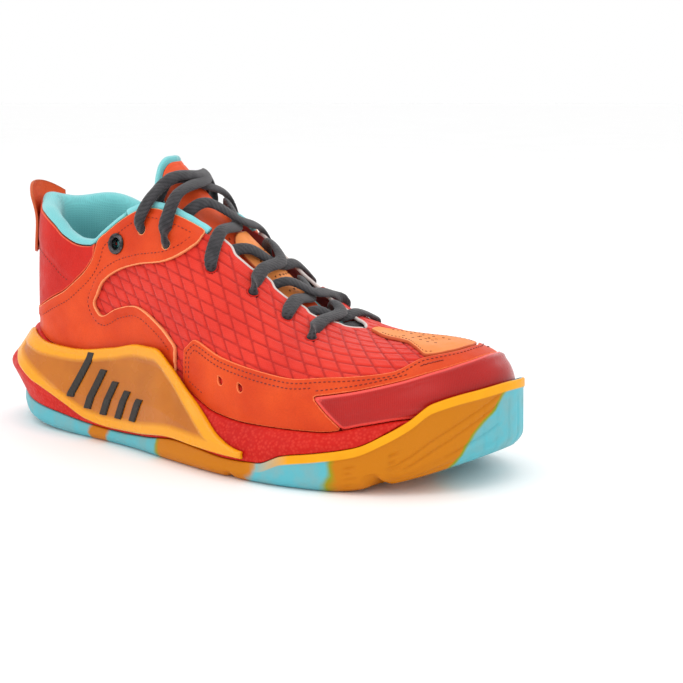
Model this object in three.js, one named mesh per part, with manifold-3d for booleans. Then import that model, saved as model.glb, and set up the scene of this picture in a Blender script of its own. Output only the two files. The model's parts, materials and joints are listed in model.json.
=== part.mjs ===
// Low-cut court shoe for the right foot, in millimetres.
// +X points to the toe, +Y to the inner (medial) side of the foot and +Z up. The origin is the
// centre of the footprint box at ground level. The shoe is built around the surface of its last:
// a station number u runs once round the foot (0.5 = heel, 10 = toe, under 10 = lateral side), and
// v runs from the feather line (0) where the upper meets the sole to the ridge on top (1).
import * as THREE from "three";
import { mergeVertices } from "three/addons/utils/BufferGeometryUtils.js";
import Module from "manifold-3d";

const wasm = await Module();
wasm.setup();

// ---------------------------------------------------------------- driving dimensions
const LAST_LENGTH = 277;          // last, heel to toe
const LAST_WIDTH = 103;           // last, across the ball
const LAST_RISE = 1;              // height of the last's ridge over its feather line, as a factor

// Stations round the last: feather point x, y; ridge point x, y; feather height; ridge height;
// fullness of the section; bulge. Drawn on a last 277 long and 103 wide.
const STATIONS = [
  [-135, 0, -100, 0, 44, 168, 2.7, 0],
  [-127, -20, -100, 0, 42, 168, 2.7, 0],
  [-107, -33, -96, 0, 39, 166, 2.8, 0],
  [-70, -37, -68, 1, 34, 160, 2.6, 0],
  [-30, -41, -28, 2, 31, 138, 2.5, 1],
  [10, -48, 12, 3, 28, 103, 2.4, 2],
  [45, -52, 46, 4, 26, 76, 2.4, 2],
  [80, -49, 76, 5, 26, 65, 2.4, 2],
  [112, -36, 98, 6, 29, 63, 2.6, 2],
  [133, -14, 106, 7, 32, 62, 2.8, 2],
  [142, 10, 108, 8, 34, 62, 2.8, 2],
  [136, 31, 106, 7, 32, 62, 2.8, 2],
  [114, 46, 98, 6, 29, 63, 2.6, 2],
  [76, 51, 76, 5, 26, 65, 2.4, 2],
  [40, 46, 46, 4, 26, 76, 2.4, 2],
  [0, 37, 12, 3, 30, 103, 2.5, 1],
  [-40, 31, -28, 2, 33, 138, 2.6, 0],
  [-76, 32, -68, 1, 36, 160, 2.6, 0],
  [-108, 32, -96, 0, 41, 166, 2.8, 0],
];
const LENGTH_SCALE = LAST_LENGTH / 277;
const WIDTH_SCALE = LAST_WIDTH / 103;
const TURN = STATIONS.length;     // stations in one full turn
const MIRROR = TURN + 1;          // station MIRROR - u lies opposite station u

const CLEARANCE = 0.35;           // between pieces that touch on the real shoe
const BASE_THICKNESS = 1.3;       // knitted base of the upper
const OVERLAY_THICKNESS = 1.4;    // synthetic leather overlays
const RAND_THICKNESS = 2.2;       // moulded toe rand
const LINING_THICKNESS = 1.6;
const COLLAR_PADDING = 6;
const COUNTER_THICKNESS = 1.3;

const OUTSOLE_THICKNESS = 5;
const OUTSOLE_WRAP = 2.2;         // thickness of the rubber where it climbs the side
const BOARD_THICKNESS = 1.6;
const SOCKLINER_THICKNESS = 4;
const CLIP_THICKNESS = 2.6;
const TOE_SPRING = 18;
const TOE_SPRING_START = 88;
const TOE_SPRING_RUN = 62;
const HEEL_BEVEL = 6;
const HEEL_BEVEL_START = -85;
const HEEL_BEVEL_RUN = 60;

const HINGE_LATERAL = [66, -60];  // ends of the line the forefoot bends about, x and y on that last
const HINGE_MEDIAL = [90, 60];
const HINGE_HEIGHT = 29;
const SOLE_SPLIT = 0.5;           // gap across the sole at the bend
const FLEX_ANGLE = 32;            // wedge of soft upper over the bend, in degrees

const LACE_DIAMETER = 4;
const LACE_HOLE_RADIUS = 4;
const EYELET_RADIUS = 5.4;        // flange of the metal eyelet
const EYELET_BORE = 2.7;
const EYELET_BARREL = 3.4;

// ---------------------------------------------------------------- small helpers
const lerp = (a, b, t) => a + (b - a) * t;
const clamp = (value, low, high) => Math.min(Math.max(value, low), high);
const smooth = (t) => {
  const s = clamp(t, 0, 1);
  return s * s * (3 - 2 * s);
};
const range = (low, high, count) => Array.from({ length: count + 1 }, (_, i) => lerp(low, high, i / count));

// Both ends and every multiple of step between them, so that stacked panels share their stations.
function stepped(low, high, step = 0.25) {
  const inner = [];
  for (let i = Math.floor(low / step) + 1; i * step < high - step / 8; i += 1) {
    if (i * step > low + step / 8) inner.push(i * step);
  }
  return [low, ...inner, high];
}

// Smooth curve through [position, value] pairs that never overshoots them.
function curve(points) {
  const slope = points.map((p, i) => {
    if (i === 0 || i === points.length - 1) return 0;
    const before = (p[1] - points[i - 1][1]) / (p[0] - points[i - 1][0]);
    const after = (points[i + 1][1] - p[1]) / (points[i + 1][0] - p[0]);
    return before * after <= 0 ? 0 : (2 * before * after) / (before + after);
  });
  return (x) => {
    if (x <= points[0][0]) return points[0][1];
    if (x >= points.at(-1)[0]) return points.at(-1)[1];
    const i = points.findIndex((p) => p[0] > x) - 1;
    const [x0, y0] = points[i];
    const [x1, y1] = points[i + 1];
    const h = x1 - x0;
    const t = (x - x0) / h;
    const t2 = t * t;
    const t3 = t2 * t;
    return y0 * (2 * t3 - 3 * t2 + 1) + slope[i] * h * (t3 - 2 * t2 + t)
      + y1 * (3 * t2 - 2 * t3) + slope[i + 1] * h * (t3 - t2);
  };
}

// The same curve for the medial side, at the stations opposite the lateral ones.
const opposite = (points, shift = 0) => points.map(([u, value]) => [MIRROR - u, value + shift]).reverse();

// ---------------------------------------------------------------- the last
const scaledStations = STATIONS.map(([fx, fy, cx, cy, low, high, fullness, bulge]) => {
  const ridgeHeight = low + (high - low) * LAST_RISE;
  return [fx * LENGTH_SCALE, fy * WIDTH_SCALE, cx * LENGTH_SCALE, cy * WIDTH_SCALE, low, ridgeHeight, fullness, bulge];
});

// Control points of the closed cubic spline that passes through every station.
const splineControls = (() => {
  let control = scaledStations.map((row) => [...row]);
  for (let pass = 0; pass < 60; pass += 1) {
    control = scaledStations.map((row, i) => row.map((value, k) =>
      (6 * value - control[(i + TURN - 1) % TURN][k] - control[(i + 1) % TURN][k]) / 4));
  }
  return control;
})();

function station(u) {
  const turn = ((u % TURN) + TURN) % TURN;
  const i = Math.floor(turn);
  const t = turn - i;
  const weights = [(1 - t) ** 3, 3 * t ** 3 - 6 * t * t + 4, -3 * t ** 3 + 3 * t * t + 3 * t + 1, t ** 3];
  const row = [0, 0, 0, 0, 0, 0, 0, 0];
  weights.forEach((weight, k) => {
    const control = splineControls[(i + k + TURN - 1) % TURN];
    control.forEach((value, c) => { row[c] += (value * weight) / 6; });
  });
  return row;
}

// One section from feather line to ridge, as points with their distance along it.
const sectionCache = new Map();
function section(u) {
  const key = u.toFixed(6);
  if (sectionCache.has(key)) return sectionCache.get(key);
  const [fx, fy, cx, cy, low, high, fullness, bulge] = station(u);
  const radius = Math.hypot(fx - cx, fy - cy);
  const dx = (fx - cx) / radius;
  const dy = (fy - cy) / radius;
  const points = range(0, Math.PI / 2, 48).map((angle) => {
    const reach = radius * Math.max(Math.cos(angle), 0) ** (2 / fullness) + bulge * Math.sin(2 * angle);
    const z = low + (high - low) * Math.sin(angle) ** (2 / fullness);
    return new THREE.Vector3(cx + dx * reach, cy + dy * reach, z);
  });
  const lengths = [0];
  for (let i = 1; i < points.length; i += 1) lengths.push(lengths[i - 1] + points[i].distanceTo(points[i - 1]));
  const result = { points, lengths, total: lengths.at(-1) };
  sectionCache.set(key, result);
  return result;
}

// Point of the last's surface; below the feather line it runs straight down.
function surface(u, v) {
  const { points, lengths, total } = section(u);
  if (v <= 0) return points[0].clone().setZ(points[0].z + v * total);
  const want = Math.min(v, 1) * total;
  let i = lengths.findIndex((length) => length >= want);
  i = Math.max(i, 1);
  const t = (want - lengths[i - 1]) / (lengths[i] - lengths[i - 1]);
  return points[i - 1].clone().lerp(points[i], t);
}

const RIDGE_EDGE = 0.97;
function normalBelowRidge(u, v) {
  const low = Math.max(v, 0);
  const alongU = surface(u + 0.02, low).sub(surface(u - 0.02, low));
  const alongV = surface(u, low + 0.012).sub(surface(u, low));
  return alongU.cross(alongV).normalize();
}

// Outward normal of the last; both sides agree on one normal along the ridge.
function normalAt(u, v) {
  const own = normalBelowRidge(u, Math.min(v, RIDGE_EDGE));
  if (v <= RIDGE_EDGE) return own;
  const other = normalBelowRidge(MIRROR - u, RIDGE_EDGE);
  const shared = own.clone().add(other).normalize();
  return own.lerp(shared, (v - RIDGE_EDGE) / (1 - RIDGE_EDGE)).normalize();
}

const lifted = (u, v, lift) => surface(u, v).addScaledVector(normalAt(u, v), lift);

// v of the point at height z on the section through u.
function heightToV(u, z) {
  const { points, lengths, total } = section(u);
  if (z <= points[0].z) return (z - points[0].z) / total;
  const i = points.findIndex((p) => p.z >= z);
  if (i < 0) return 1;
  const t = (z - points[i - 1].z) / (points[i].z - points[i - 1].z);
  return lerp(lengths[i - 1], lengths[i], t) / total;
}

// Outline of the last in plan, moved outward by an offset.
function outline(u, offset) {
  const here = station(u);
  const before = station(u - 0.02);
  const after = station(u + 0.02);
  const tx = after[0] - before[0];
  const ty = after[1] - before[1];
  const length = Math.hypot(tx, ty);
  return [here[0] + (ty / length) * offset, here[1] - (tx / length) * offset];
}

// ---------------------------------------------------------------- closed bodies from grids
function bodyFrom(positions, triangles) {
  const geometry = new THREE.BufferGeometry();
  geometry.setAttribute("position", new THREE.Float32BufferAttribute(positions, 3));
  geometry.setIndex(triangles);
  return geometry;
}

// Turns a geometry into a solid: shared corners merged, empty triangles dropped, faces outward.
function solidOf(geometry) {
  geometry.deleteAttribute("normal");
  geometry.deleteAttribute("uv");
  const merged = mergeVertices(geometry, 1e-3);
  const index = Array.from(merged.index.array);
  const kept = [];
  for (let i = 0; i < index.length; i += 3) {
    const [a, b, c] = [index[i], index[i + 1], index[i + 2]];
    if (a !== b && b !== c && c !== a) kept.push(a, b, c);
  }
  const build = (triangles) => new wasm.Manifold(new wasm.Mesh({
    numProp: 3,
    vertProperties: new Float32Array(merged.attributes.position.array),
    triVerts: new Uint32Array(triangles),
  }));
  const solid = build(kept);
  if (solid.volume() > 0) return solid;
  for (let i = 0; i < kept.length; i += 3) [kept[i + 1], kept[i + 2]] = [kept[i + 2], kept[i + 1]];
  return build(kept);
}

// Two facing grids of points, outer[i][j] and inner[i][j], joined round their edge into one body.
function shellSolid(outer, inner, { joinTop = false, joinEnds = false } = {}) {
  const rows = outer.length;
  const columns = outer[0].length;
  const positions = [];
  for (const grid of [outer, inner]) for (const row of grid) for (const p of row) positions.push(p.x, p.y, p.z);
  const half = rows * columns;
  const at = (side, i, j) => side * half + (i % rows) * columns + j;
  const triangles = [];
  const quad = (a, b, c, d) => triangles.push(a, b, c, a, c, d);
  const lastRow = joinEnds ? rows : rows - 1;
  for (let i = 0; i < lastRow; i += 1) {
    for (let j = 0; j < columns - 1; j += 1) {
      quad(at(0, i, j), at(0, i + 1, j), at(0, i + 1, j + 1), at(0, i, j + 1));
      quad(at(1, i, j), at(1, i, j + 1), at(1, i + 1, j + 1), at(1, i + 1, j));
    }
    quad(at(0, i, 0), at(1, i, 0), at(1, i + 1, 0), at(0, i + 1, 0));
    if (!joinTop) {
      const j = columns - 1;
      quad(at(0, i, j), at(0, i + 1, j), at(1, i + 1, j), at(1, i, j));
    }
  }
  if (!joinEnds) {
    for (let j = 0; j < columns - 1; j += 1) {
      quad(at(0, 0, j), at(0, 0, j + 1), at(1, 0, j + 1), at(1, 0, j));
      quad(at(0, rows - 1, j), at(1, rows - 1, j), at(1, rows - 1, j + 1), at(0, rows - 1, j + 1));
    }
  }
  return solidOf(bodyFrom(positions, triangles));
}

// A panel of the upper: stations us, from low(u) to high(u), between two lifts off the last.
function panel(us, low, high, inner, outer, steps = 8, options = {}) {
  const asFunction = (value) => (typeof value === "function" ? value : () => value);
  const [liftIn, liftOut] = [asFunction(inner), asFunction(outer)];
  const grid = (lift) => us.map((u) => range(low(u), high(u), steps).map((v) => lifted(u, v, lift(u, v))));
  return shellSolid(grid(liftOut), grid(liftIn), options);
}

// A body of the sole: rings round the foot, each ring { share, offset, z } as functions of u.
// share 0 is the ridge line seen in plan and 1 the outline.
const RING_STATIONS = range(0.5, 0.5 + TURN, 3 * TURN).slice(0, -1);
function soleSolid(rings) {
  const positions = [];
  const triangles = [];
  const count = RING_STATIONS.length;
  rings.forEach(({ share = 1, offset = () => 0, z }, r) => {
    RING_STATIONS.forEach((u) => {
      const [ox, oy] = outline(u, offset(u));
      const [, , cx, cy] = station(u);
      const x = lerp(cx, ox, share);
      positions.push(x, lerp(cy, oy, share), z(u, x));
    });
    if (r === 0) return;
    for (let i = 0; i < count; i += 1) {
      const next = (i + 1) % count;
      const [a, b] = [(r - 1) * count + i, (r - 1) * count + next];
      const [c, d] = [r * count + next, r * count + i];
      triangles.push(a, b, c, a, c, d);
    }
  });
  return solidOf(bodyFrom(positions, triangles));
}

// ---------------------------------------------------------------- the parts' list
const shoe = new THREE.Group();
shoe.name = "court_shoe";

const finishes = {
  rubber: ["#f0a010", 0.55],
  foam: ["#d8231c", 0.6],
  amber: ["#e89a18", 0.25],
  graphic: ["#1c1c1e", 0.4],
  mesh: ["#d93222", 0.75],
  leather: ["#e5571f", 0.55],
  paleLeather: ["#f08040", 0.55],
  redLeather: ["#cf2a1e", 0.5],
  gloss: ["#c01418", 0.2],
  lining: ["#6fd0d8", 0.85],
  board: ["#e8e0d0", 0.9],
  stiffener: ["#b8b4aa", 0.6],
  binding: ["#7adbe0", 0.7],
  webbing: ["#d8392a", 0.8],
  cord: ["#2a2a2e", 0.85],
  metal: ["#202024", 0.35, 0.9],
};
const materials = Object.fromEntries(Object.entries(finishes).map(([name, [color, roughness, metalness = 0]]) =>
  [name, new THREE.MeshStandardMaterial({ name, color, roughness, metalness })]));

function add(name, solid, finish) {
  const { vertProperties, triVerts, numProp } = solid.getMesh();
  const positions = [];
  for (let i = 0; i < vertProperties.length; i += numProp) {
    positions.push(vertProperties[i], vertProperties[i + 1], vertProperties[i + 2]);
  }
  const geometry = bodyFrom(positions, Array.from(triVerts));
  geometry.computeVertexNormals();
  const mesh = new THREE.Mesh(geometry, materials[finish].clone());
  mesh.name = name;
  shoe.add(mesh);
}

// ---------------------------------------------------------------- cutting at the bend
const [hingeOuter, hingeInner] = [HINGE_LATERAL, HINGE_MEDIAL].map(([x, y]) =>
  new THREE.Vector3(x * LENGTH_SCALE, y * WIDTH_SCALE, HINGE_HEIGHT));
const hingeMiddle = hingeOuter.clone().lerp(hingeInner, 0.5);
const hingeAngle = Math.atan2(hingeInner.y - hingeOuter.y, hingeInner.x - hingeOuter.x);

// A block with the side outline [forward, up] about the hinge line, as wide as the shoe.
function blockAtBend(points) {
  const reach = 200;
  const shape = new THREE.Shape(points.map(([forward, up]) => new THREE.Vector2(forward, up)));
  const geometry = new THREE.ExtrudeGeometry(shape, { depth: 2 * reach, bevelEnabled: false });
  geometry.translate(0, 0, -reach);
  geometry.rotateX(Math.PI / 2);
  geometry.rotateZ(hingeAngle - Math.PI / 2);
  geometry.translate(hingeMiddle.x, hingeMiddle.y, hingeMiddle.z);
  return solidOf(geometry);
}

const FAR = 400;
const tilt = Math.tan(THREE.MathUtils.degToRad(FLEX_ANGLE));
const halfSplit = SOLE_SPLIT / 2;
const rearBlock = blockAtBend([[-halfSplit, -FAR], [-halfSplit, FAR], [-FAR, FAR], [-FAR, -FAR]]);
const foreBlock = blockAtBend([[halfSplit, -FAR], [FAR, -FAR], [FAR, FAR],
  [halfSplit + tilt * FAR, FAR], [halfSplit, 0]]);
const wedgeRear = CLEARANCE - halfSplit;
const wedgeFront = halfSplit - CLEARANCE / Math.cos(THREE.MathUtils.degToRad(FLEX_ANGLE));
const flexBlock = blockAtBend([[wedgeRear, (wedgeRear - wedgeFront) / tilt], [wedgeFront + tilt * FAR, FAR],
  [wedgeRear, FAR]]);

// ---------------------------------------------------------------- the sole
const ground = (x) => TOE_SPRING * Math.max(0, (x / LENGTH_SCALE - TOE_SPRING_START) / TOE_SPRING_RUN) ** 1.6
  + HEEL_BEVEL * Math.max(0, (HEEL_BEVEL_START - x / LENGTH_SCALE) / HEEL_BEVEL_RUN) ** 1.5;
const outsoleFloor = (x) => ground(x) + OUTSOLE_THICKNESS;
const footbedShape = curve([[-140, 31], [-90, 30], [-30, 27], [20, 22], [50, 20], [90, 20.5], [115, 24], [142, 32]]);
const footbed = (x) => footbedShape(x / LENGTH_SCALE);

const LATERAL_OUTSOLE_TOP = [[0.5, 15], [1.5, 14], [2.35, 11], [3.1, 8], [3.6, 7.5], [4.2, 9], [4.8, 12], [5.3, 11],
  [5.8, 9.5], [6.3, 10], [6.65, 15], [7.1, 18], [7.6, 22], [7.95, 28], [8.25, 34], [8.6, 42], [9.2, 46], [10, 48]];
const MEDIAL_OUTSOLE_TOP = [[10, 48], [10.8, 46], [11.4, 42], [11.8, 34], [12.1, 28], [12.5, 22], [13, 18],
  [13.6, 14], [14.3, 11], [15.2, 8], [16.2, 7.5], [17, 8], [17.8, 11], [18.6, 14], [19.5, 15]];
const outsoleTop = curve([...LATERAL_OUTSOLE_TOP, ...MEDIAL_OUTSOLE_TOP.slice(1)]);
const outsoleFlare = curve([[0.5, 11], [1.5, 9.5], [2.5, 8], [3.6, 8], [4.6, 9.5], [5.4, 9.5], [6.3, 8.7], [7.2, 7.5],
  [8.6, 7], [10, 6.6], [11.4, 7], [13, 7], [14.3, 7], [15.5, 6], [17, 7], [18.4, 9], [19.5, 11]]);
const midsoleTop = curve([[0.5, 51], [1.5, 50], [2.2, 45], [2.7, 43], [3.4, 44], [4, 46], [4.4, 45], [4.9, 35],
  [5.4, 28], [6, 26], [7.1, 26.5], [7.7, 31], [8.2, 34], [10, 37], [11.8, 34], [12.3, 31], [12.9, 27], [13.6, 26],
  [14.4, 29], [15.2, 38], [16, 44], [17.3, 44], [18.2, 47], [19.5, 51]]);
const midsoleBulge = curve([[0.5, 19], [1.6, 15], [2.6, 9.5], [3.6, 7.5], [5, 8.5], [6.5, 8.5], [8, 6], [10, 4],
  [12, 6], [13.5, 7], [15.5, 6], [17, 8], [18.4, 13], [19.5, 19]]);
const MIDSOLE_LIP = 3.2;
const MIDSOLE_MIN_WALL = 1.2;
const EXPOSURE_RUN = 5;            // rise of foam over rubber at which its wall is full width
const WRAP_CLEARANCE = 1;         // between the foam and the rubber wall round it
const CUP_CLEARANCE = 0.8;        // between the foam and what is cupped in it

const wrapFloorHeight = (u, x) => Math.min(outsoleFloor(x) + 1, outsoleTop(u) - 0.8);
const wrapInside = (u) => outsoleFlare(u) - OUTSOLE_WRAP;
const wrapFoot = (u) => wrapInside(u) - 1.2;

function outsole() {
  return soleSolid([
    { share: 0, z: (u, x) => ground(x) },
    { share: 0.5, z: (u, x) => ground(x) },
    { offset: () => -6, z: (u, x) => ground(x) },
    { offset: (u) => outsoleFlare(u) - 3, z: (u, x) => ground(x) },
    { offset: (u) => outsoleFlare(u) + 0.5, z: (u, x) => Math.min(ground(x) + 3.5, outsoleTop(u) - 1) },
    { offset: outsoleFlare, z: outsoleTop },
    { offset: wrapInside, z: outsoleTop },
    { offset: wrapFoot, z: wrapFloorHeight },
    { share: 0.5, z: (u, x) => outsoleFloor(x) },
    { share: 0, z: (u, x) => outsoleFloor(x) },
  ]);
}

// Where the rubber climbs above the foam, the foam stays inside the rubber wall.
const foamExposure = (u) => clamp((midsoleTop(u) - MIDSOLE_MIN_WALL - outsoleTop(u) - CLEARANCE) / EXPOSURE_RUN, 0, 1);
const foamShoulder = (u) => Math.min(outsoleTop(u), midsoleTop(u) - MIDSOLE_MIN_WALL);
function insideWrap(u, z) {
  const foot = outline(u, wrapFoot(u));
  const low = wrapFloorHeight(u, foot[0]);
  const t = clamp((z - low) / (outsoleTop(u) - low), 0, 1);
  return lerp(wrapFoot(u), wrapInside(u), t) - WRAP_CLEARANCE;
}
const foamWidth = (u, full) => lerp(insideWrap(u, foamShoulder(u)), full, foamExposure(u));
const foamStep = (u) => foamWidth(u, outsoleFlare(u) - 0.4);
const foamStepHeight = (u) => foamShoulder(u) + CLEARANCE;
const foamBulge = (u) => foamWidth(u, midsoleBulge(u));
const foamBulgeHeight = (u) => lerp(foamStepHeight(u), midsoleTop(u), 0.45);
const foamLip = (u) => Math.min(MIDSOLE_LIP, foamBulge(u));

function midsole() {
  return soleSolid([
    { share: 0, z: (u, x) => outsoleFloor(x) + CLEARANCE },
    { share: 0.5, z: (u, x) => outsoleFloor(x) + CLEARANCE },
    { offset: (u) => wrapFoot(u) - CLEARANCE, z: (u, x) => wrapFloorHeight(u, x) + CLEARANCE },
    { offset: (u) => insideWrap(u, foamShoulder(u)), z: foamShoulder },
    { offset: foamStep, z: foamStepHeight },
    { offset: foamBulge, z: foamBulgeHeight },
    { offset: foamLip, z: midsoleTop },
    { offset: () => CUP_CLEARANCE, z: midsoleTop },
    { offset: () => CUP_CLEARANCE, z: (u, x) => footbed(x) - CUP_CLEARANCE },
    { share: 0.5, z: (u, x) => footbed(x) - CUP_CLEARANCE },
    { share: 0, z: (u, x) => footbed(x) - CUP_CLEARANCE },
  ]);
}

// A flat layer on the footbed, from one height above it to another, with a raised rim.
function footbedLayer(low, high, edge, rim) {
  return soleSolid([
    { share: 0, z: (u, x) => footbed(x) + low },
    { share: 0.5, z: (u, x) => footbed(x) + low },
    { offset: edge, z: (u, x) => footbed(x) + low + rim },
    { offset: edge, z: (u, x) => footbed(x) + high + rim },
    { share: 0.5, z: (u, x) => footbed(x) + high },
    { share: 0, z: (u, x) => footbed(x) + high },
  ]);
}

function addSplit(name, solid, finish) {
  add(`${name}_rear`, solid.intersect(rearBlock), finish);
  add(`${name}_fore`, solid.intersect(foreBlock), finish);
}

const INSIDE_BASE = BASE_THICKNESS + CLEARANCE;
const INSIDE_COUNTER = INSIDE_BASE + COUNTER_THICKNESS + 2 * CLEARANCE;
const INSIDE_LINING = INSIDE_COUNTER + LINING_THICKNESS + CLEARANCE;
const sockEdge = curve([[0.5, -INSIDE_LINING], [3.4, -INSIDE_LINING], [4.2, -INSIDE_BASE - CLEARANCE],
  [10, -INSIDE_BASE - CLEARANCE], [15.8, -INSIDE_BASE - CLEARANCE], [16.6, -INSIDE_LINING], [19.5, -INSIDE_LINING]]);

addSplit("outsole", outsole(), "rubber");
addSplit("midsole", midsole(), "foam");
addSplit("strobel_board", footbedLayer(0, BOARD_THICKNESS, () => -INSIDE_BASE, 0), "board");
const sockLow = BOARD_THICKNESS + CLEARANCE;
addSplit("sockliner", footbedLayer(sockLow, sockLow + SOCKLINER_THICKNESS, sockEdge, 1), "lining");

// Outermost face of the sole wall, or of the leather above it, at height z.
function soleFace(u, z) {
  if (z <= foamStepHeight(u)) return outsoleFlare(u) + 0.5;
  const middle = foamBulgeHeight(u);
  if (z <= middle) return lerp(foamStep(u), foamBulge(u), (z - foamStepHeight(u)) / (middle - foamStepHeight(u)));
  const t = clamp((z - middle) / (midsoleTop(u) - middle), 0, 1);
  return lerp(foamBulge(u), foamLip(u), t);
}

// A plate on the sole wall between two heights.
function wallPlate(us, low, high, gap, thickness, steps = 5) {
  const grid = (lift) => us.map((u) => range(low(u), high(u), steps).map((z) => {
    const [x, y] = outline(u, soleFace(u, z) + lift);
    return new THREE.Vector3(x, y, z);
  }));
  return shellSolid(grid(gap + thickness), grid(gap));
}

const CLIP_GAP = 0.8;
const CLIP_TOP = [[1.25, 51], [1.7, 49], [2.15, 46.5], [2.7, 46], [3.47, 50], [4, 54], [4.3, 54], [4.6, 47], [4.92, 37],
  [5.3, 27], [5.7, 19], [6.1, 15]];
const CLIP_LOW = [[1.25, 38], [1.7, 33], [2.17, 26], [2.64, 18], [3.1, 11], [3.5, 9.5], [4.1, 10.5], [4.8, 13.5],
  [5.3, 12.5], [6.1, 11.5]];
const clipTop = curve(CLIP_TOP);
const clipLow = curve(CLIP_LOW);
const clipStations = range(1.25, 6.1, 22);
add("clip_lateral", wallPlate(clipStations, clipLow, clipTop, CLIP_GAP, CLIP_THICKNESS), "amber");
const medialClipTop = curve(opposite(CLIP_TOP, -4));
const medialClipLow = curve(opposite(CLIP_LOW));
const medialClipStations = range(MIRROR - 5.7, MIRROR - 1.7, 18);
add("clip_medial", wallPlate(medialClipStations, medialClipLow, medialClipTop, CLIP_GAP, CLIP_THICKNESS), "amber");

// Five slanted bars of falling height, moulded on the lateral clip.
const BAR_COUNT = 5;
const BAR_FIRST = 2.75;
const BAR_STEP = 0.3;
const BAR_WIDTH = 0.13;
const BAR_LEAN = 0.012;           // stations per millimetre of height
const BAR_HEIGHT = 24;
const BAR_THICKNESS = 0.8;
for (let bar = 0; bar < BAR_COUNT; bar += 1) {
  const height = BAR_HEIGHT - bar * 3;
  const foot = clipLow(BAR_FIRST + bar * BAR_STEP) + 6;
  const grid = (lift) => range(0, 1, 2).map((across) => range(foot, foot + height, 4).map((z) => {
    const u = BAR_FIRST + bar * BAR_STEP + across * BAR_WIDTH + (z - foot) * BAR_LEAN;
    const [x, y] = outline(u, soleFace(u, z) + lift);
    return new THREE.Vector3(x, y, z);
  }));
  const face = CLIP_GAP + CLIP_THICKNESS + CLEARANCE;
  add(`clip_bar_${bar + 1}`, shellSolid(grid(face + BAR_THICKNESS), grid(face)), "graphic");
}

// ---------------------------------------------------------------- lace holes
const HOLE_STATIONS = [6.5, 6.0, 5.45, 4.87, 4.22, 3.8];
const HOLE_V = [0.62, 0.68, 0.68, 0.64, 0.6, 0.595];
const EYELET_STATION = 3.4;
const EYELET_V = 0.5;

// A short round bar standing on the surface, for punching a hole.
function punch(u, v, radius) {
  const bar = new THREE.CylinderGeometry(radius, radius, 12, 10);
  const turn = new THREE.Quaternion().setFromUnitVectors(new THREE.Vector3(0, 1, 0), normalAt(u, v));
  bar.applyQuaternion(turn);
  const place = surface(u, v);
  bar.translate(place.x, place.y, place.z);
  return solidOf(bar);
}
const holePlaces = [...HOLE_STATIONS.map((u, i) => [u, HOLE_V[i]]), ...HOLE_STATIONS.map((u, i) => [MIRROR - u, HOLE_V[i]])];
const punches = holePlaces.map(([u, v]) => punch(u, v, LACE_HOLE_RADIUS));
const eyeletPunches = [EYELET_STATION, MIRROR - EYELET_STATION].map((u) => punch(u, EYELET_V, EYELET_BARREL + CLEARANCE));
const punched = (solid) => [...punches, ...eyeletPunches].reduce((rest, bar) => rest.subtract(bar), solid);

// ---------------------------------------------------------------- the upper's base
const LATERAL_EDGE = [[0.5, 0.54], [1.2, 0.53], [1.7, 0.52], [2.15, 0.49], [2.4, 0.46], [2.68, 0.445], [2.92, 0.455],
  [3.12, 0.505], [3.3, 0.555], [3.5, 0.61], [3.7, 0.66], [3.9, 0.695], [4.3, 0.735], [4.8, 0.77], [5.4, 0.795],
  [6, 0.815], [6.4, 0.85], [6.7, 0.92], [6.85, 0.993]];
const MEDIAL_RISE = 0.03;         // the collar is higher on the inner side
const lateralEdge = curve(LATERAL_EDGE);
const medialEdge = curve(opposite(LATERAL_EDGE).map(([u, v]) => [u, u > 16.2 && u < 18.6 ? v + MEDIAL_RISE : v]));
const upperEdge = (u) => {
  const turn = ((u % TURN) + TURN) % TURN;
  return turn > 0.5 && turn < MIRROR / 2 ? lateralEdge(turn) : medialEdge(turn <= 0.5 ? turn + TURN : turn);
};
const NEVER_PAST_RIDGE = 0.993;
const baseFoot = (u) => heightToV(u, footbed(station(u)[0]) + 0.1);
const sideEdge = (u) => (Math.abs(u - MIRROR / 2) < 3.3 ? NEVER_PAST_RIDGE : upperEdge(u));
const ridge = () => 1;

const lateralBase = panel(stepped(2.52, 8.25), baseFoot, sideEdge, -BASE_THICKNESS, 0, 6);
const medialBase = panel(stepped(MIRROR - 8.25, MIRROR - 2.52), baseFoot, sideEdge, -BASE_THICKNESS, 0, 6);
add("mesh_lateral", punched(lateralBase.intersect(rearBlock)), "mesh");
add("mesh_medial", punched(medialBase.intersect(rearBlock)), "mesh");
add("heel_base", panel(stepped(-1.5, 2.5), baseFoot, upperEdge, -BASE_THICKNESS, 0, 5), "redLeather");
const TOE_STEP = 0.2;
const toeStations = stepped(6.8, MIRROR - 6.8, TOE_STEP);
const toeBase = panel(toeStations, baseFoot, ridge, -BASE_THICKNESS, 0, 6, { joinTop: true });
add("mesh_toe", toeBase.intersect(foreBlock), "mesh");
add("vamp_flex", toeBase.intersect(flexBlock), "mesh");

// ---------------------------------------------------------------- heel and collar
const counterTop = () => 0.25;
const counterFoot = (u) => heightToV(u, footbed(station(u)[0]) + sockLow + SOCKLINER_THICKNESS + 1.5);
add("heel_counter", panel(stepped(-1.75, 2.75), counterFoot, counterTop, -INSIDE_BASE - COUNTER_THICKNESS,
  -INSIDE_BASE, 3), "stiffener");

const COLLAR_START = 0.3;
const liningStations = stepped(-2.5, 3.5);
const collarSwell = (v) => smooth((v - COLLAR_START) / 0.08);
const liningOut = (u, v) => lerp(-INSIDE_COUNTER, -INSIDE_BASE, collarSwell(v));
const liningIn = (u, v) => liningOut(u, v) - lerp(LINING_THICKNESS, COLLAR_PADDING, collarSwell(v));
add("collar_lining", panel(liningStations, counterFoot, upperEdge, liningIn, liningOut, 7), "lining");

const BINDING_GAP = 0.004;
const BINDING_HEIGHT = 0.016;
add("collar_binding", panel(stepped(-2.5, 3.5), (u) => upperEdge(u) + BINDING_GAP,
  (u) => upperEdge(u) + BINDING_GAP + BINDING_HEIGHT, -4, 1.3, 1), "binding");

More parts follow.
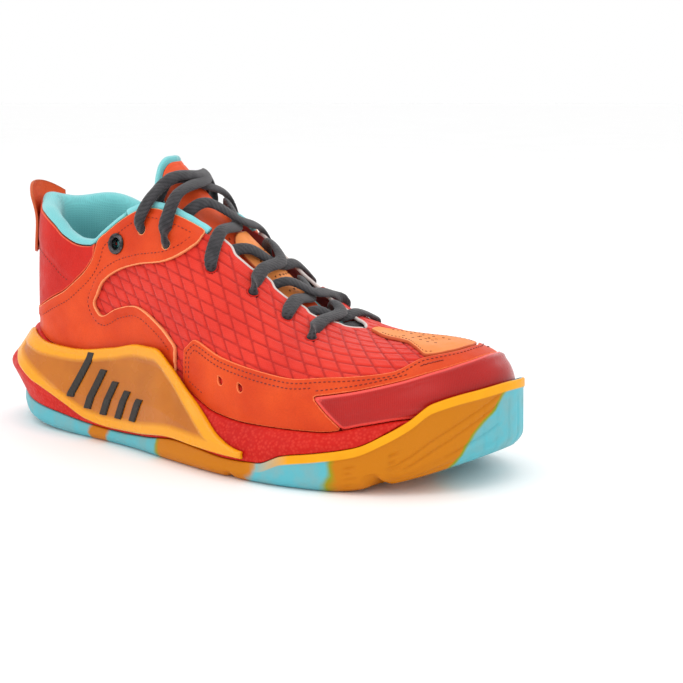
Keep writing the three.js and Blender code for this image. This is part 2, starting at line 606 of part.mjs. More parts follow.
const QUARTER_REAR = [[0.64, 0.13], [1.52, 0.16], [2.37, 0.25], [2.66, 0.31], [2.98, 0.41], [3.06, 0.5], [3.12, 0.9]];
const lateralRear = curve(QUARTER_REAR);
const medialRear = curve(opposite(QUARTER_REAR));
const SEAM = 0.006;
const rearSeam = (u) => (u < 0.5 ? medialRear(u + TURN) : lateralRear(u)) + SEAM;
const overBase = CLEARANCE + OVERLAY_THICKNESS;
add("heel_cover", panel(stepped(-2, 3), rearSeam, (u) => upperEdge(u), CLEARANCE, overBase, 5), "redLeather");

const TAB_FOOT = 0.34;
const TAB_TOP = 0.6;
const TAB_FLARE = 5;
const TAB_HALF_WIDTH = 0.65;
const tabLift = (u, v) => overBase + CLEARANCE + TAB_FLARE * smooth((v - 0.42) / (TAB_TOP - 0.42)) ** 2;
add("heel_tab", panel(stepped(0.5 - TAB_HALF_WIDTH, 0.5 + TAB_HALF_WIDTH), () => TAB_FOOT, () => TAB_TOP, tabLift,
  (u, v) => tabLift(u, v) + 1.6, 6), "leather");

// ---------------------------------------------------------------- quarters, mudguard, toe
const APERTURE_LOW = [[3.03, 0.245], [3.15, 0.22], [3.47, 0.27], [3.88, 0.31], [4.32, 0.28], [4.8, 0.21]];
const APERTURE_HIGH = [[3.03, 0.27], [3.17, 0.34], [3.47, 0.41], [3.81, 0.465], [4.22, 0.53], [4.45, 0.6], [4.6, 0.69],
  [4.68, 0.8], [4.8, 0.9]];
const aboveMidsole = (u) => heightToV(u, midsoleTop(u) + CLEARANCE + 0.1);

function quarter(side) {
  const place = (points) => (side > 0 ? points : opposite(points));
  const rear = curve(place(QUARTER_REAR));
  const top = (u) => Math.min(rear(u), upperEdge(u));
  const stations = [...stepped(0.64, 2.9), ...stepped(2.98, 4.6, 0.125)];
  const us = side > 0 ? stations : stations.map((u) => MIRROR - u).reverse();
  const cutStations = range(3.03, 4.8, 10);
  const cuts = side > 0 ? cutStations : cutStations.map((u) => MIRROR - u).reverse();
  const full = panel(us, aboveMidsole, top, CLEARANCE, overBase, 5);
  const aperture = panel(cuts, curve(place(APERTURE_LOW)), curve(place(APERTURE_HIGH)), -2, 5, 2);
  return punched(full.subtract(aperture));
}
add("quarter_lateral", quarter(1), "leather");
add("quarter_medial", quarter(-1), "leather");

const MUDGUARD_TOP = [[4.76, 0.25], [4.95, 0.31], [5.48, 0.29], [6.02, 0.29], [6.55, 0.29], [7.11, 0.33], [7.45, 0.35],
  [8.01, 0.43], [8.52, 0.63], [9.2, 0.7], [10, 0.73]];
const RAND_TOP = [[6.8, 0.2], [7.4, 0.24], [8.06, 0.33], [8.72, 0.46], [9.3, 0.55], [10, 0.6]];
const bothSides = (points) => curve([...points, ...opposite(points).slice(1)]);
const mudguardTop = bothSides(MUDGUARD_TOP);
const randTop = bothSides(RAND_TOP);
const VENTS = [[5.48, 0.18], [5.85, 0.18]];
const ventRadius = 1.6;

let mudguardSide = panel(stepped(4.76, 8.5), aboveMidsole, mudguardTop, CLEARANCE, overBase, 4);
for (const [u, v] of VENTS) mudguardSide = mudguardSide.subtract(punch(u, v, ventRadius));
const mudguardInner = panel(stepped(MIRROR - 8.5, MIRROR - 4.76), aboveMidsole, mudguardTop, CLEARANCE, overBase, 4);
add("mudguard_lateral", mudguardSide.intersect(rearBlock), "leather");
add("mudguard_medial", mudguardInner.intersect(rearBlock), "leather");
add("mudguard_flex_lateral", mudguardSide.intersect(flexBlock), "leather");
add("mudguard_flex_medial", mudguardInner.intersect(flexBlock), "leather");

const RAND_TIP = 7.2;
const randStations = stepped(RAND_TIP, MIRROR - RAND_TIP, TOE_STEP);
const randLift = CLEARANCE + 0.2;
add("toe_rand", panel(randStations, aboveMidsole, randTop, randLift, randLift + RAND_THICKNESS, 4)
  .intersect(foreBlock), "gloss");
const mudguardToe = panel(stepped(7, MIRROR - 7, TOE_STEP), (u) => randTop(u) + SEAM, mudguardTop, CLEARANCE, overBase, 3);
add("mudguard_toe", mudguardToe.intersect(foreBlock), "leather");

const TOE_OVERLAY = [[6.95, 0.95], [7.4, 0.9], [7.94, 0.88], [8.3, 0.78], [8.55, 0.67], [9.2, 0.725], [10, 0.755]];
const toeOverlay = panel(stepped(7, MIRROR - 7, TOE_STEP), bothSides(TOE_OVERLAY), ridge, CLEARANCE, overBase, 3,
  { joinTop: true });
add("toe_overlay", toeOverlay.intersect(foreBlock), "paleLeather");
add("toe_overlay_flex", toeOverlay.intersect(flexBlock), "paleLeather");

// ---------------------------------------------------------------- tongue
const TONGUE_TOP = 3.68;
const TONGUE_FRONT = 6.5;
const tongueEdge = curve([[3.6, 0.66], [4.4, 0.72], [5.5, 0.76], [6.5, 0.8]]);
const TONGUE_SKIN = 1.2;
const crownFade = (u) => 1 - smooth((u - 5.8) / 0.5);
const TONGUE_LOW = -(BASE_THICKNESS + LACE_DIAMETER + 1.7);
const tongueFace = (u, v) => lerp(TONGUE_LOW, TONGUE_LOW + 3.4, smooth((v - 0.84) / 0.12) * crownFade(u));
const tonguePad = curve([[3.8, 6], [5.2, 4], [6.5, 2]]);

// A strip that runs over the ridge from the lateral side to the medial side.
function bridge(us, edge, inner, outer, steps = 5) {
  const row = (u, lift) => [
    ...range(edge(u), 1, steps).map((v) => lifted(u, v, lift(u, v))),
    ...range(1, edge(u), steps).slice(1).map((v) => lifted(MIRROR - u, v, lift(u, v))),
  ];
  return shellSolid(us.map((u) => row(u, outer)), us.map((u) => row(u, inner)));
}
const tongueStations = range(TONGUE_TOP, TONGUE_FRONT, 13);
const skinInside = (u, v) => tongueFace(u, v) - TONGUE_SKIN;
const padOutside = (u, v) => skinInside(u, v) - CLEARANCE;
const padInside = (u, v) => padOutside(u, v) - tonguePad(u);
add("tongue_skin", bridge(tongueStations, tongueEdge, skinInside, tongueFace), "leather");
add("tongue_padding", bridge(tongueStations, tongueEdge, padInside, padOutside), "lining");
add("tongue_binding", bridge(range(TONGUE_TOP - 0.09, TONGUE_TOP - 0.02, 2), tongueEdge,
  (u, v) => padInside(u, v) - 0.5, (u, v) => tongueFace(u, v) + 0.5), "binding");
add("lace_keeper", bridge(range(4.95, 5.75, 5), () => 0.93, (u, v) => tongueFace(u, v) + CLEARANCE,
  (u, v) => tongueFace(u, v) + CLEARANCE + 0.8, 2), "paleLeather");

// ---------------------------------------------------------------- eyelets, tapes, loops
function ring(u, v) {
  const low = -BASE_THICKNESS;
  const high = overBase + CLEARANCE;
  const profile = [[EYELET_BORE, low], [EYELET_BARREL, low], [EYELET_BARREL, high], [EYELET_RADIUS, high],
    [EYELET_RADIUS - 0.5, high + 0.9], [EYELET_BORE, high + 0.9], [EYELET_BORE, low]];
  const geometry = new THREE.LatheGeometry(profile.map(([r, z]) => new THREE.Vector2(r, z)), 12);
  geometry.applyQuaternion(new THREE.Quaternion().setFromUnitVectors(new THREE.Vector3(0, 1, 0), normalAt(u, v)));
  const place = surface(u, v);
  geometry.translate(place.x, place.y, place.z);
  return solidOf(geometry);
}
add("eyelet_lateral", ring(EYELET_STATION, EYELET_V), "metal");
add("eyelet_medial", ring(MIRROR - EYELET_STATION, EYELET_V), "metal");

// Narrow tapes stitched along the top row of the eyestays.
const tapeStart = 4.0;
const tapeEnd = 4.58;
const tapeLow = (u) => upperEdge(u) - 0.028;
const tapeHigh = (u) => upperEdge(u) - 0.006;
const tape = (us) => panel(us, tapeLow, tapeHigh, overBase + CLEARANCE, overBase + CLEARANCE + 0.7, 2);
add("eyestay_tape_lateral", tape(range(tapeStart, tapeEnd, 8)), "binding");
add("eyestay_tape_medial", tape(range(MIRROR - tapeEnd, MIRROR - tapeStart, 8)), "binding");

const LOOP_STATIONS = [5.3, 5.78];
LOOP_STATIONS.forEach((u, i) => {
  const here = MIRROR - u;
  add(`lace_loop_${i + 1}`, panel(range(here - 0.06, here + 0.06, 2), (w) => upperEdge(w) - 0.09,
    (w) => upperEdge(w) - 0.01, CLEARANCE, CLEARANCE + 1, 4), "webbing");
});

// ---------------------------------------------------------------- lace
// One lace: under the front pair of holes, then crossing from side to side up to the top holes,
// with both ends tucked under the eyestays.
const laceRadius = LACE_DIAMETER / 2;
const laceOver = overBase + CLEARANCE + laceRadius;
const laceUnder = -(BASE_THICKNESS + CLEARANCE + laceRadius) - 0.4;
const LOWER_CROSSING = 0;
const UPPER_CROSSING = 4.5;
const RIDGE_SHARE = 0.36;          // of the way between its rows that the lace passes over the ridge

// side 1 is lateral and -1 medial; lifts are off the last.
const onSide = (side, u) => (side > 0 ? u : MIRROR - u);
const lacePoint = (side, u, v, lift) => lifted(onSide(side, u), v, lift);

// From the hole of one row, up and over to the other side and up through its next hole.
function crossing(side, row, overTop) {
  const from = HOLE_STATIONS[row];
  const to = HOLE_STATIONS[row + 1];
  const middle = lerp(from, to, RIDGE_SHARE);
  const edgeV = upperEdge(to);
  return [
    lacePoint(side, from, HOLE_V[row], 0.4),
    lacePoint(side, lerp(from, to, 0.06), HOLE_V[row] + 0.022, laceOver - 0.2),
    lacePoint(side, lerp(from, to, 0.25), lerp(HOLE_V[row], 1, 0.45), laceOver + (overTop ? 1 : 0)),
    lacePoint(side, middle, 1, overTop ? UPPER_CROSSING : LOWER_CROSSING),
    lacePoint(-side, lerp(from, to, 0.8), lerp(edgeV, 1, 0.55), overTop ? 1.6 : -0.6),
    lacePoint(-side, lerp(from, to, 0.95), edgeV + 0.02, laceUnder + 0.1),
    lacePoint(-side, to, HOLE_V[row + 1] + 0.028, laceUnder),
  ];
}

function halfLace(side) {
  const points = [];
  for (let row = 0; row < HOLE_STATIONS.length - 1; row += 1) {
    points.push(...crossing(row % 2 === 0 ? side : -side, row, side > 0));
  }
  // The end crosses the top of the tongue and is tucked under the other eyestay.
  const last = HOLE_STATIONS.length - 1;
  const end = last % 2 === 0 ? side : -side;
  const [u, v] = [HOLE_STATIONS[last], HOLE_V[last]];
  const ridgeLift = side > 0 ? UPPER_CROSSING : LOWER_CROSSING;
  points.push(lacePoint(end, u, v, 0.4), lacePoint(end, u - 0.025, v + 0.022, laceOver - 0.2),
    lacePoint(end, u - 0.02, v + 0.12, laceOver), lacePoint(end, u - 0.03, v + 0.255, ridgeLift),
    lacePoint(end, u + 0.02, 1, ridgeLift), lacePoint(-end, u - 0.04, v + 0.255, ridgeLift - 0.6),
    lacePoint(-end, u - 0.12, v + 0.145, ridgeLift - 3.4), lacePoint(-end, u - 0.18, v + 0.075, laceUnder));
  return points;
}

const frontBar = [
  lacePoint(-1, HOLE_STATIONS[0], HOLE_V[0] + 0.03, laceUnder),
  lacePoint(-1, HOLE_STATIONS[0], 0.86, laceUnder),
  lacePoint(1, HOLE_STATIONS[0], 1, laceUnder),
  lacePoint(1, HOLE_STATIONS[0], 0.86, laceUnder),
  lacePoint(1, HOLE_STATIONS[0], HOLE_V[0] + 0.03, laceUnder),
];
const laceRoute = [...halfLace(-1).reverse(), ...frontBar, ...halfLace(1)];

function tube(points, radius, steps, sides = 6) {
  const shape = new THREE.Shape(range(0, 2 * Math.PI, sides).slice(0, -1).map((angle) =>
    new THREE.Vector2(radius * Math.cos(angle), radius * Math.sin(angle))));
  const extrudePath = new THREE.CatmullRomCurve3(points, false, "centripetal");
  return solidOf(new THREE.ExtrudeGeometry(shape, { steps, bevelEnabled: false, extrudePath }));
}
add("lace", tube(laceRoute, laceRadius, 230), "cord");

// ---------------------------------------------------------------- place the shoe
const footprint = new THREE.Box3().setFromObject(shoe);
shoe.position.set(-(footprint.min.x + footprint.max.x) / 2, -(footprint.min.y + footprint.max.y) / 2, -footprint.min.z);
shoe.updateMatrixWorld(true);

export default shoe;
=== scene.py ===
"""Looks of the court shoe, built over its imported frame. All shapes are worked out in millimetres
on the surface of the last (u round the foot, v up from the feather line) and placed in metres."""
import json
import math

import bmesh
import bpy
import numpy as np
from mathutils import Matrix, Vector
from mathutils.geometry import delaunay_2d_cdt

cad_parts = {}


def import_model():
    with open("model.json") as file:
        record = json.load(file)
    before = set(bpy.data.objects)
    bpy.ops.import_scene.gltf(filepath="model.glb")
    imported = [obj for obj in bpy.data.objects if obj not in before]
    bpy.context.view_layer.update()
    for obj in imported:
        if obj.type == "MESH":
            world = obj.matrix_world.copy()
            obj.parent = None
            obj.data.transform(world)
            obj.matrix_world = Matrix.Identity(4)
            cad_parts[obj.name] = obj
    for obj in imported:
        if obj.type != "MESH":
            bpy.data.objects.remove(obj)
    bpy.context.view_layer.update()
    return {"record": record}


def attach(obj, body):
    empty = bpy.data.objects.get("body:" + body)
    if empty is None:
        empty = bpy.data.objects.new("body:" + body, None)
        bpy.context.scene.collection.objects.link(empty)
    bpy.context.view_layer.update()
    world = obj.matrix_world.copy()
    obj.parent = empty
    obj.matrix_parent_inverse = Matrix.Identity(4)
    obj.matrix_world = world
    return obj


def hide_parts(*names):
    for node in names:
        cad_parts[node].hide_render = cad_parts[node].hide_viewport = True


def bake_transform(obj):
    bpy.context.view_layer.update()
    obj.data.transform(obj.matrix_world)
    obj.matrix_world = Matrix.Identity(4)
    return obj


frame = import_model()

# ------------------------------------------------------------------ frame
# The last is drawn in its own frame, in mm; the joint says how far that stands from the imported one.
HINGE = np.array([78.0, 0.0, 29.0])
joint = frame["record"]["behaviour"]["joints"][0]
SHIFT = np.array(joint["pos_m"]) * 1000 - HINGE


def world(p):
    return (np.asarray(p, float) + SHIFT) / 1000


# ------------------------------------------------------------------ camera
AZIMUTH, ELEVATION = math.radians(36), math.radians(10.3)
DISTANCE = 750.0
LENS = 77.57
AIM_HEIGHT, AIM_RIGHT, AIM_UP = 45.0, 48.73, 7.14
right = np.array([math.cos(AZIMUTH), math.sin(AZIMUTH), 0.0])
back = np.array([math.sin(AZIMUTH) * math.cos(ELEVATION), -math.cos(AZIMUTH) * math.cos(ELEVATION),
                 math.sin(ELEVATION)])
up = np.cross(back, right)
target = np.array([0, 0, AIM_HEIGHT]) + right * AIM_RIGHT + up * AIM_UP
camera_data = bpy.data.cameras.new("camera")
camera_data.lens = LENS
camera_data.sensor_width = 36
camera_data.clip_start = 0.01
camera = bpy.data.objects.new("camera", camera_data)
camera.location = world(target + back * DISTANCE)
camera.rotation_mode = "QUATERNION"
camera.rotation_quaternion = (-Vector(back)).to_track_quat("-Z", "Y")
bpy.context.scene.collection.objects.link(camera)
bpy.context.scene.camera = camera

# ------------------------------------------------------------------ the last
# One row per station: foot x, y; ridge x, y; foot z, ridge z; fullness; bulge.
STATIONS = np.array([
    [-135, 0, -100, 0, 44, 168, 2.7, 0], [-127, -20, -100, 0, 42, 168, 2.7, 0],
    [-107, -33, -96, 0, 39, 166, 2.8, 0], [-70, -37, -68, 1, 34, 160, 2.6, 0],
    [-30, -41, -28, 2, 31, 138, 2.5, 1], [10, -48, 12, 3, 28, 103, 2.4, 2],
    [45, -52, 46, 4, 26, 76, 2.4, 2], [80, -49, 76, 5, 26, 65, 2.4, 2],
    [112, -36, 98, 6, 29, 63, 2.6, 2], [133, -14, 106, 7, 32, 62, 2.8, 2],
    [142, 10, 108, 8, 34, 62, 2.8, 2], [136, 31, 106, 7, 32, 62, 2.8, 2],
    [114, 46, 98, 6, 29, 63, 2.6, 2], [76, 51, 76, 5, 26, 65, 2.4, 2],
    [40, 46, 46, 4, 26, 76, 2.4, 2], [0, 37, 12, 3, 30, 103, 2.5, 1],
    [-40, 31, -28, 2, 33, 138, 2.6, 0], [-76, 32, -68, 1, 36, 160, 2.6, 0],
    [-108, 32, -96, 0, 41, 166, 2.8, 0]], float)
TURN = len(STATIONS)
MIRROR = TURN + 1

SPLINE_PASSES = 60
controls = STATIONS.copy()
for _ in range(SPLINE_PASSES):
    controls = (6 * STATIONS - np.roll(controls, 1, 0) - np.roll(controls, -1, 0)) / 4


def station(u):
    turn = np.mod(np.asarray(u, float), TURN)
    i = np.floor(turn).astype(int)
    t = turn - i
    weights = [(1 - t) ** 3, 3 * t ** 3 - 6 * t * t + 4, -3 * t ** 3 + 3 * t * t + 3 * t + 1, t ** 3]
    return sum(controls[(i + k - 1) % TURN] * (w[..., None] / 6) for k, w in enumerate(weights))


ROWS_PER_STATION = 32
COLUMNS = 161
SHARED_FROM = 0.97  # the two sides share one normal from here to the ridge


def unit(a):
    return a / np.maximum(np.linalg.norm(a, axis=-1, keepdims=True), 1e-12)


def run_length(points, axis=0):
    """Length run along a line, or along one axis of a grid, from its start."""
    steps = np.cumsum(np.linalg.norm(np.diff(points, axis=axis), axis=-1), axis)
    return np.concatenate([np.zeros_like(steps.take([0], axis)), steps], axis)


def at_lengths(points, run, at):
    return np.stack([np.interp(at, run, points[:, k]) for k in range(points.shape[1])], -1)


def make_tables():
    every = np.arange(TURN * ROWS_PER_STATION) / ROWS_PER_STATION
    fx, fy, cx, cy, low, high, full, bulge = station(every).T[:, :, None]
    radius = np.hypot(fx - cx, fy - cy)
    angle = np.linspace(0, np.pi / 2, 241)[None, :]
    reach = radius * np.clip(np.cos(angle), 0, 1) ** (2 / full) + bulge * np.sin(2 * angle)
    z = low + (high - low) * np.sin(angle) ** (2 / full)
    points = np.stack([cx + (fx - cx) / radius * reach, cy + (fy - cy) / radius * reach, z], -1)
    lengths = run_length(points, 1)
    v = np.linspace(0, 1, COLUMNS)
    place = np.stack([at_lengths(p, s, v * s[-1]) for s, p in zip(lengths, points)])
    along_u = np.roll(place, -1, 0) - np.roll(place, 1, 0)
    along_v = np.gradient(place, axis=1)
    normal = unit(np.cross(along_u, along_v))
    edge = int(SHARED_FROM * (COLUMNS - 1))
    own = normal[:, edge]
    index = np.arange(len(place))
    shared = unit(own + own[(MIRROR * ROWS_PER_STATION - index) % len(place)])
    for j in range(edge, COLUMNS):
        t = (v[j] - v[edge]) / (1 - v[edge])
        normal[:, j] = unit(own * (1 - t) + shared * t)
    return place, normal, lengths[:, -1]


PLACE, NORMAL, TOTAL = make_tables()


def table_at(table, u, v):
    fu = np.mod(u, TURN) * ROWS_PER_STATION
    i = np.floor(fu).astype(int)
    a = (fu - i)[..., None]
    fv = np.clip(v, 0, 1) * (COLUMNS - 1)
    j = np.minimum(np.floor(fv).astype(int), COLUMNS - 2)
    b = (fv - j)[..., None]
    i0, i1 = i % len(table), (i + 1) % len(table)
    return ((table[i0, j] * (1 - b) + table[i0, j + 1] * b) * (1 - a)
            + (table[i1, j] * (1 - b) + table[i1, j + 1] * b) * a)


def total(u):
    fu = np.mod(u, TURN) * ROWS_PER_STATION
    i = np.floor(fu).astype(int)
    a = fu - i
    return TOTAL[i % len(TOTAL)] * (1 - a) + TOTAL[(i + 1) % len(TOTAL)] * a


def both(u, v):
    return [np.array(a, float) for a in np.broadcast_arrays(u, v)]


def surface(u, v):
    u, v = both(u, v)
    p = table_at(PLACE, u, v)
    p[..., 2] += np.minimum(v, 0) * total(u)
    return p


def normal(u, v):
    u, v = both(u, v)
    return unit(table_at(NORMAL, u, v))


def lifted(u, v, lift):
    u, v = both(u, v)
    return surface(u, v) + normal(u, v) * np.broadcast_to(lift, u.shape)[..., None]


def on_side(u, side):
    """A station given for the lateral side, or its opposite when side is -1."""
    return u if side > 0 else MIRROR - u


def value_at(value, u, v):
    return value(u, v) if callable(value) else np.full(u.shape, float(value))


# length round the shoe at a middling height, which with v * total(u) makes a flat chart in mm
U_KNOTS = np.arange(-4, 24, 1 / 32)
CHART_V = 0.35
S_KNOTS = run_length(surface(U_KNOTS, CHART_V))


def s_of(u):
    return np.interp(u, U_KNOTS, S_KNOTS)


def u_of(s):
    return np.interp(s, S_KNOTS, U_KNOTS)


TOE_S = float(s_of(10.0))


def curve(points):
    """Smooth curve through [position, value] pairs that never overshoots them."""
    x = np.array([p[0] for p in points], float)
    y = np.array([p[1] for p in points], float)
    h = np.diff(x)
    chord = np.diff(y) / h
    slope = np.zeros(len(x))
    before, after = chord[:-1], chord[1:]
    same = before * after > 0
    slope[1:-1][same] = 2 * (before * after)[same] / (before + after)[same]

    def value(at):
        at = np.clip(np.asarray(at, float), x[0], x[-1])
        i = np.clip(np.searchsorted(x, at, side="right") - 1, 0, len(h) - 1)
        t = (at - x[i]) / h[i]
        return (y[i] * (2 * t ** 3 - 3 * t ** 2 + 1) + slope[i] * h[i] * (t ** 3 - 2 * t ** 2 + t)
                + y[i + 1] * (3 * t ** 2 - 2 * t ** 3) + slope[i + 1] * h[i] * (t ** 3 - t ** 2))
    return value


def opposite(points, shift=0.0):
    return [[MIRROR - u, value + shift] for u, value in points][::-1]


def smooth(t):
    s = np.clip(t, 0, 1)
    return s * s * (3 - 2 * s)


def lerp(a, b, t):
    return a + (b - a) * t


def height_to_v(u, z):
    """v of the point at height z on the section through u."""
    out = []
    for a, b in zip(*[np.ravel(w) for w in both(u, z)]):
        row = surface(a, np.linspace(0, 1, COLUMNS))
        if b <= row[0, 2]:
            out.append((b - row[0, 2]) / float(total(a)))
        else:
            out.append(np.interp(b, row[:, 2], np.linspace(0, 1, COLUMNS)))
    return np.array(out).reshape(np.shape(both(u, z)[0]))


def outline(u, offset):
    u, offset = both(u, offset)
    here, ahead, behind = station(u), station(u + 0.02), station(u - 0.02)
    t = unit(ahead[..., :2] - behind[..., :2])
    return np.stack([here[..., 0] + t[..., 1] * offset, here[..., 1] - t[..., 0] * offset], -1)


# ------------------------------------------------------------------ shapes shared with the frame
CLEARANCE = 0.35
BASE = 1.3
OVERLAY = 1.4
OVER_BASE = CLEARANCE + OVERLAY
INSIDE_BASE = BASE + CLEARANCE
OUTSOLE, WRAP = 5.0, 2.2
SOCK_LOW, SOCK = 1.6 + CLEARANCE, 4.0

LATERAL_EDGE = [
    [0.5, 0.54], [1.2, 0.53], [1.7, 0.52], [2.15, 0.49], [2.4, 0.46], [2.68, 0.445], [2.92, 0.455],
    [3.12, 0.505], [3.3, 0.555], [3.5, 0.61], [3.7, 0.66], [3.9, 0.695], [4.3, 0.735], [4.8, 0.77],
    [5.4, 0.795], [6, 0.815], [6.4, 0.85], [6.7, 0.92], [6.85, 0.993]]
MEDIAL_COLLAR, MEDIAL_RISE = (16.2, 18.6), 0.03
lateral_edge = curve(LATERAL_EDGE)
medial_edge = curve([[u, v + MEDIAL_RISE * (MEDIAL_COLLAR[0] < u < MEDIAL_COLLAR[1])]
                     for u, v in opposite(LATERAL_EDGE)])


def upper_edge(u):
    turn = np.mod(np.asarray(u, float), TURN)
    medial = medial_edge(np.where(turn <= 0.5, turn + TURN, turn))
    return np.where((turn > 0.5) & (turn < MIRROR / 2), lateral_edge(turn), medial)


def ground(x):
    x = np.asarray(x, float)
    return 18 * np.maximum(0, (x - 88) / 62) ** 1.6 + 6 * np.maximum(0, (-85 - x) / 60) ** 1.5


footbed = curve([[-140, 31], [-90, 30], [-30, 27], [20, 22], [50, 20], [90, 20.5], [115, 24], [142, 32]])
outsole_top = curve([
    [0.5, 15], [1.5, 14], [2.35, 11], [3.1, 8], [3.6, 7.5], [4.2, 9], [4.8, 12], [5.3, 11], [5.8, 9.5],
    [6.3, 10], [6.65, 15], [7.1, 18], [7.6, 22], [7.95, 28], [8.25, 34], [8.6, 42], [9.2, 46], [10, 48],
    [10.8, 46], [11.4, 42], [11.8, 34], [12.1, 28], [12.5, 22], [13, 18], [13.6, 14], [14.3, 11],
    [15.2, 8], [16.2, 7.5], [17, 8], [17.8, 11], [18.6, 14], [19.5, 15]])
outsole_flare = curve([
    [0.5, 11], [1.5, 9.5], [2.5, 8], [3.6, 8], [4.6, 9.5], [5.4, 9.5], [6.3, 8.7], [7.2, 7.5], [8.6, 7],
    [10, 6.6], [11.4, 7], [13, 7], [14.3, 7], [15.5, 6], [17, 7], [18.4, 9], [19.5, 11]])
midsole_top = curve([
    [0.5, 51], [1.5, 50], [2.2, 45], [2.7, 43], [3.4, 44], [4, 46], [4.4, 45], [4.9, 35], [5.4, 28],
    [6, 26], [7.1, 26.5], [7.7, 31], [8.2, 34], [10, 37], [11.8, 34], [12.3, 31], [12.9, 27], [13.6, 26],
    [14.4, 29], [15.2, 38], [16, 44], [17.3, 44], [18.2, 47], [19.5, 51]])
midsole_bulge = curve([
    [0.5, 19], [1.6, 15], [2.6, 9.5], [3.6, 7.5], [5, 8.5], [6.5, 8.5], [8, 6], [10, 4], [12, 6],
    [13.5, 7], [15.5, 6], [17, 8], [18.4, 13], [19.5, 19]])
FOAM_RIM, WRAP_LEAN = 1.2, 1.2


def wrap_floor(u, x):
    return np.minimum(ground(x) + OUTSOLE + 1, outsole_top(u) - 0.8)


def wrap_inside(u):
    return outsole_flare(u) - WRAP


def wrap_foot(u):
    return wrap_inside(u) - WRAP_LEAN


def foam_exposure(u):
    return np.clip((midsole_top(u) - FOAM_RIM - outsole_top(u) - CLEARANCE) / 5, 0, 1)


def foam_shoulder(u):
    return np.minimum(outsole_top(u), midsole_top(u) - FOAM_RIM)


def inside_wrap(u, z):
    low = wrap_floor(u, outline(u, wrap_foot(u))[..., 0])
    t = np.clip((z - low) / (outsole_top(u) - low), 0, 1)
    return lerp(wrap_foot(u), wrap_inside(u), t) - 1.0


def foam_width(u, full):
    return lerp(inside_wrap(u, foam_shoulder(u)), full, foam_exposure(u))


def foam_step(u):
    return foam_width(u, outsole_flare(u) - 0.4)


def foam_bulge(u):
    return foam_width(u, midsole_bulge(u))


def foam_middle(u):
    return lerp(foam_shoulder(u) + CLEARANCE, midsole_top(u), 0.45)


def foam_lip(u):
    return np.minimum(3.2, foam_bulge(u))


def sole_face(u, z):
    """Outermost face of the sole wall at height z, as an offset from the outline."""
    u, z = both(u, z)
    step_z, middle = foam_shoulder(u) + CLEARANCE, foam_middle(u)
    low = lerp(foam_step(u), foam_bulge(u), np.clip((z - step_z) / (middle - step_z), 0, 1))
    high = lerp(foam_bulge(u), foam_lip(u), np.clip((z - middle) / (midsole_top(u) - middle), 0, 1))
    face = np.where(z <= middle, low, high)
    # softened at the step so that a plate over it has no kink
    return lerp(outsole_flare(u) + 0.5, face, smooth((z - step_z + 1.5) / 3))


# ------------------------------------------------------------------ meshes
def rgb(*color):
    """A linear colour from one written the usual way, 0 to 255."""
    parts = [c / 255 for c in color]
    return tuple(c / 12.92 if c <= 0.04045 else ((c + 0.055) / 1.055) ** 2.4 for c in parts) + (1.0,)


def place_piece(obj, rides, replaces=(), slot=None, pad=None):
    if replaces:
        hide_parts(*replaces)
    if rides == "bend":
        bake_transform(obj)
    else:
        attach(obj, rides)
    return obj


def mesh_piece(name, points, faces, material, rides, uv=None, edge=None, weld=0.0, **facts):
    """A mesh piece from points in mm and faces, with a chart in mm as UV and the distance to its edge."""
    mesh = bpy.data.meshes.new(name)
    mesh.from_pydata(world(points).tolist(), [], [list(f) for f in faces])
    corner = np.zeros(len(mesh.loops), np.int32)
    mesh.loops.foreach_get("vertex_index", corner)
    if uv is not None:
        layer = mesh.uv_layers.new(name="chart")
        layer.data.foreach_set("uv", np.asarray(uv, np.float32)[corner].ravel())
    far = np.full(len(points), 50.0) if edge is None else np.asarray(edge, float)
    attribute = mesh.attributes.new("edge", "FLOAT", "POINT")
    attribute.data.foreach_set("value", far.astype(np.float32))
    work = bmesh.new()
    work.from_mesh(mesh)
    if weld:
        bmesh.ops.remove_doubles(work, verts=work.verts, dist=weld / 1000)
    bmesh.ops.dissolve_degenerate(work, dist=1e-7, edges=work.edges)
    bmesh.ops.recalc_face_normals(work, faces=work.faces)
    work.to_mesh(mesh)
    work.free()
    mesh.shade_smooth()
    mesh.update()
    mesh.materials.append(material)
    obj = bpy.data.objects.new(name, mesh)
    bpy.context.scene.collection.objects.link(obj)
    return place_piece(obj, rides, **facts)


def grid_faces(rows, columns, first=0, wrap_rows=False, wrap_columns=False):
    i = np.arange(rows if wrap_rows else rows - 1)[:, None]
    j = np.arange(columns if wrap_columns else columns - 1)[None, :]
    i2, j2 = (i + 1) % rows, (j + 1) % columns
    corners = (i * columns + j, i2 * columns + j, i2 * columns + j2, i * columns + j2)
    quads = np.stack(np.broadcast_arrays(*corners), -1)
    return (quads + first).reshape(-1, 4)


def closed_shell(outer, inner, uv, edge, wrap=False, join_top=False):
    """Two facing grids joined round their rim."""
    rows, columns = outer.shape[:2]
    half = rows * columns
    points = np.concatenate([outer.reshape(-1, 3), inner.reshape(-1, 3)])
    faces = [grid_faces(rows, columns, 0, wrap), grid_faces(rows, columns, half, wrap)[:, ::-1]]
    i = np.arange(rows if wrap else rows - 1)
    n = (i + 1) % rows
    faces.append(np.stack([i * columns, half + i * columns, half + n * columns, n * columns], -1))
    if not join_top:
        last = columns - 1
        faces.append(np.stack([i * columns + last, n * columns + last, half + n * columns + last,
                               half + i * columns + last], -1))
    if not wrap:
        j = np.arange(columns - 1)
        for base, flip in ((0, 1), ((rows - 1) * columns, -1)):
            strip = np.stack([base + j, base + j + 1, half + base + j + 1, half + base + j], -1)
            faces.append(strip[:, ::flip])
    flat = uv.reshape(-1, 2)
    return points, np.concatenate(faces), np.concatenate([flat, flat]), np.tile(edge.ravel(), 2)


def shell_piece(name, shell, material, rides, **facts):
    points, faces, uv, edge = shell
    return mesh_piece(name, points, faces, material, rides, uv=uv, edge=edge, **facts)


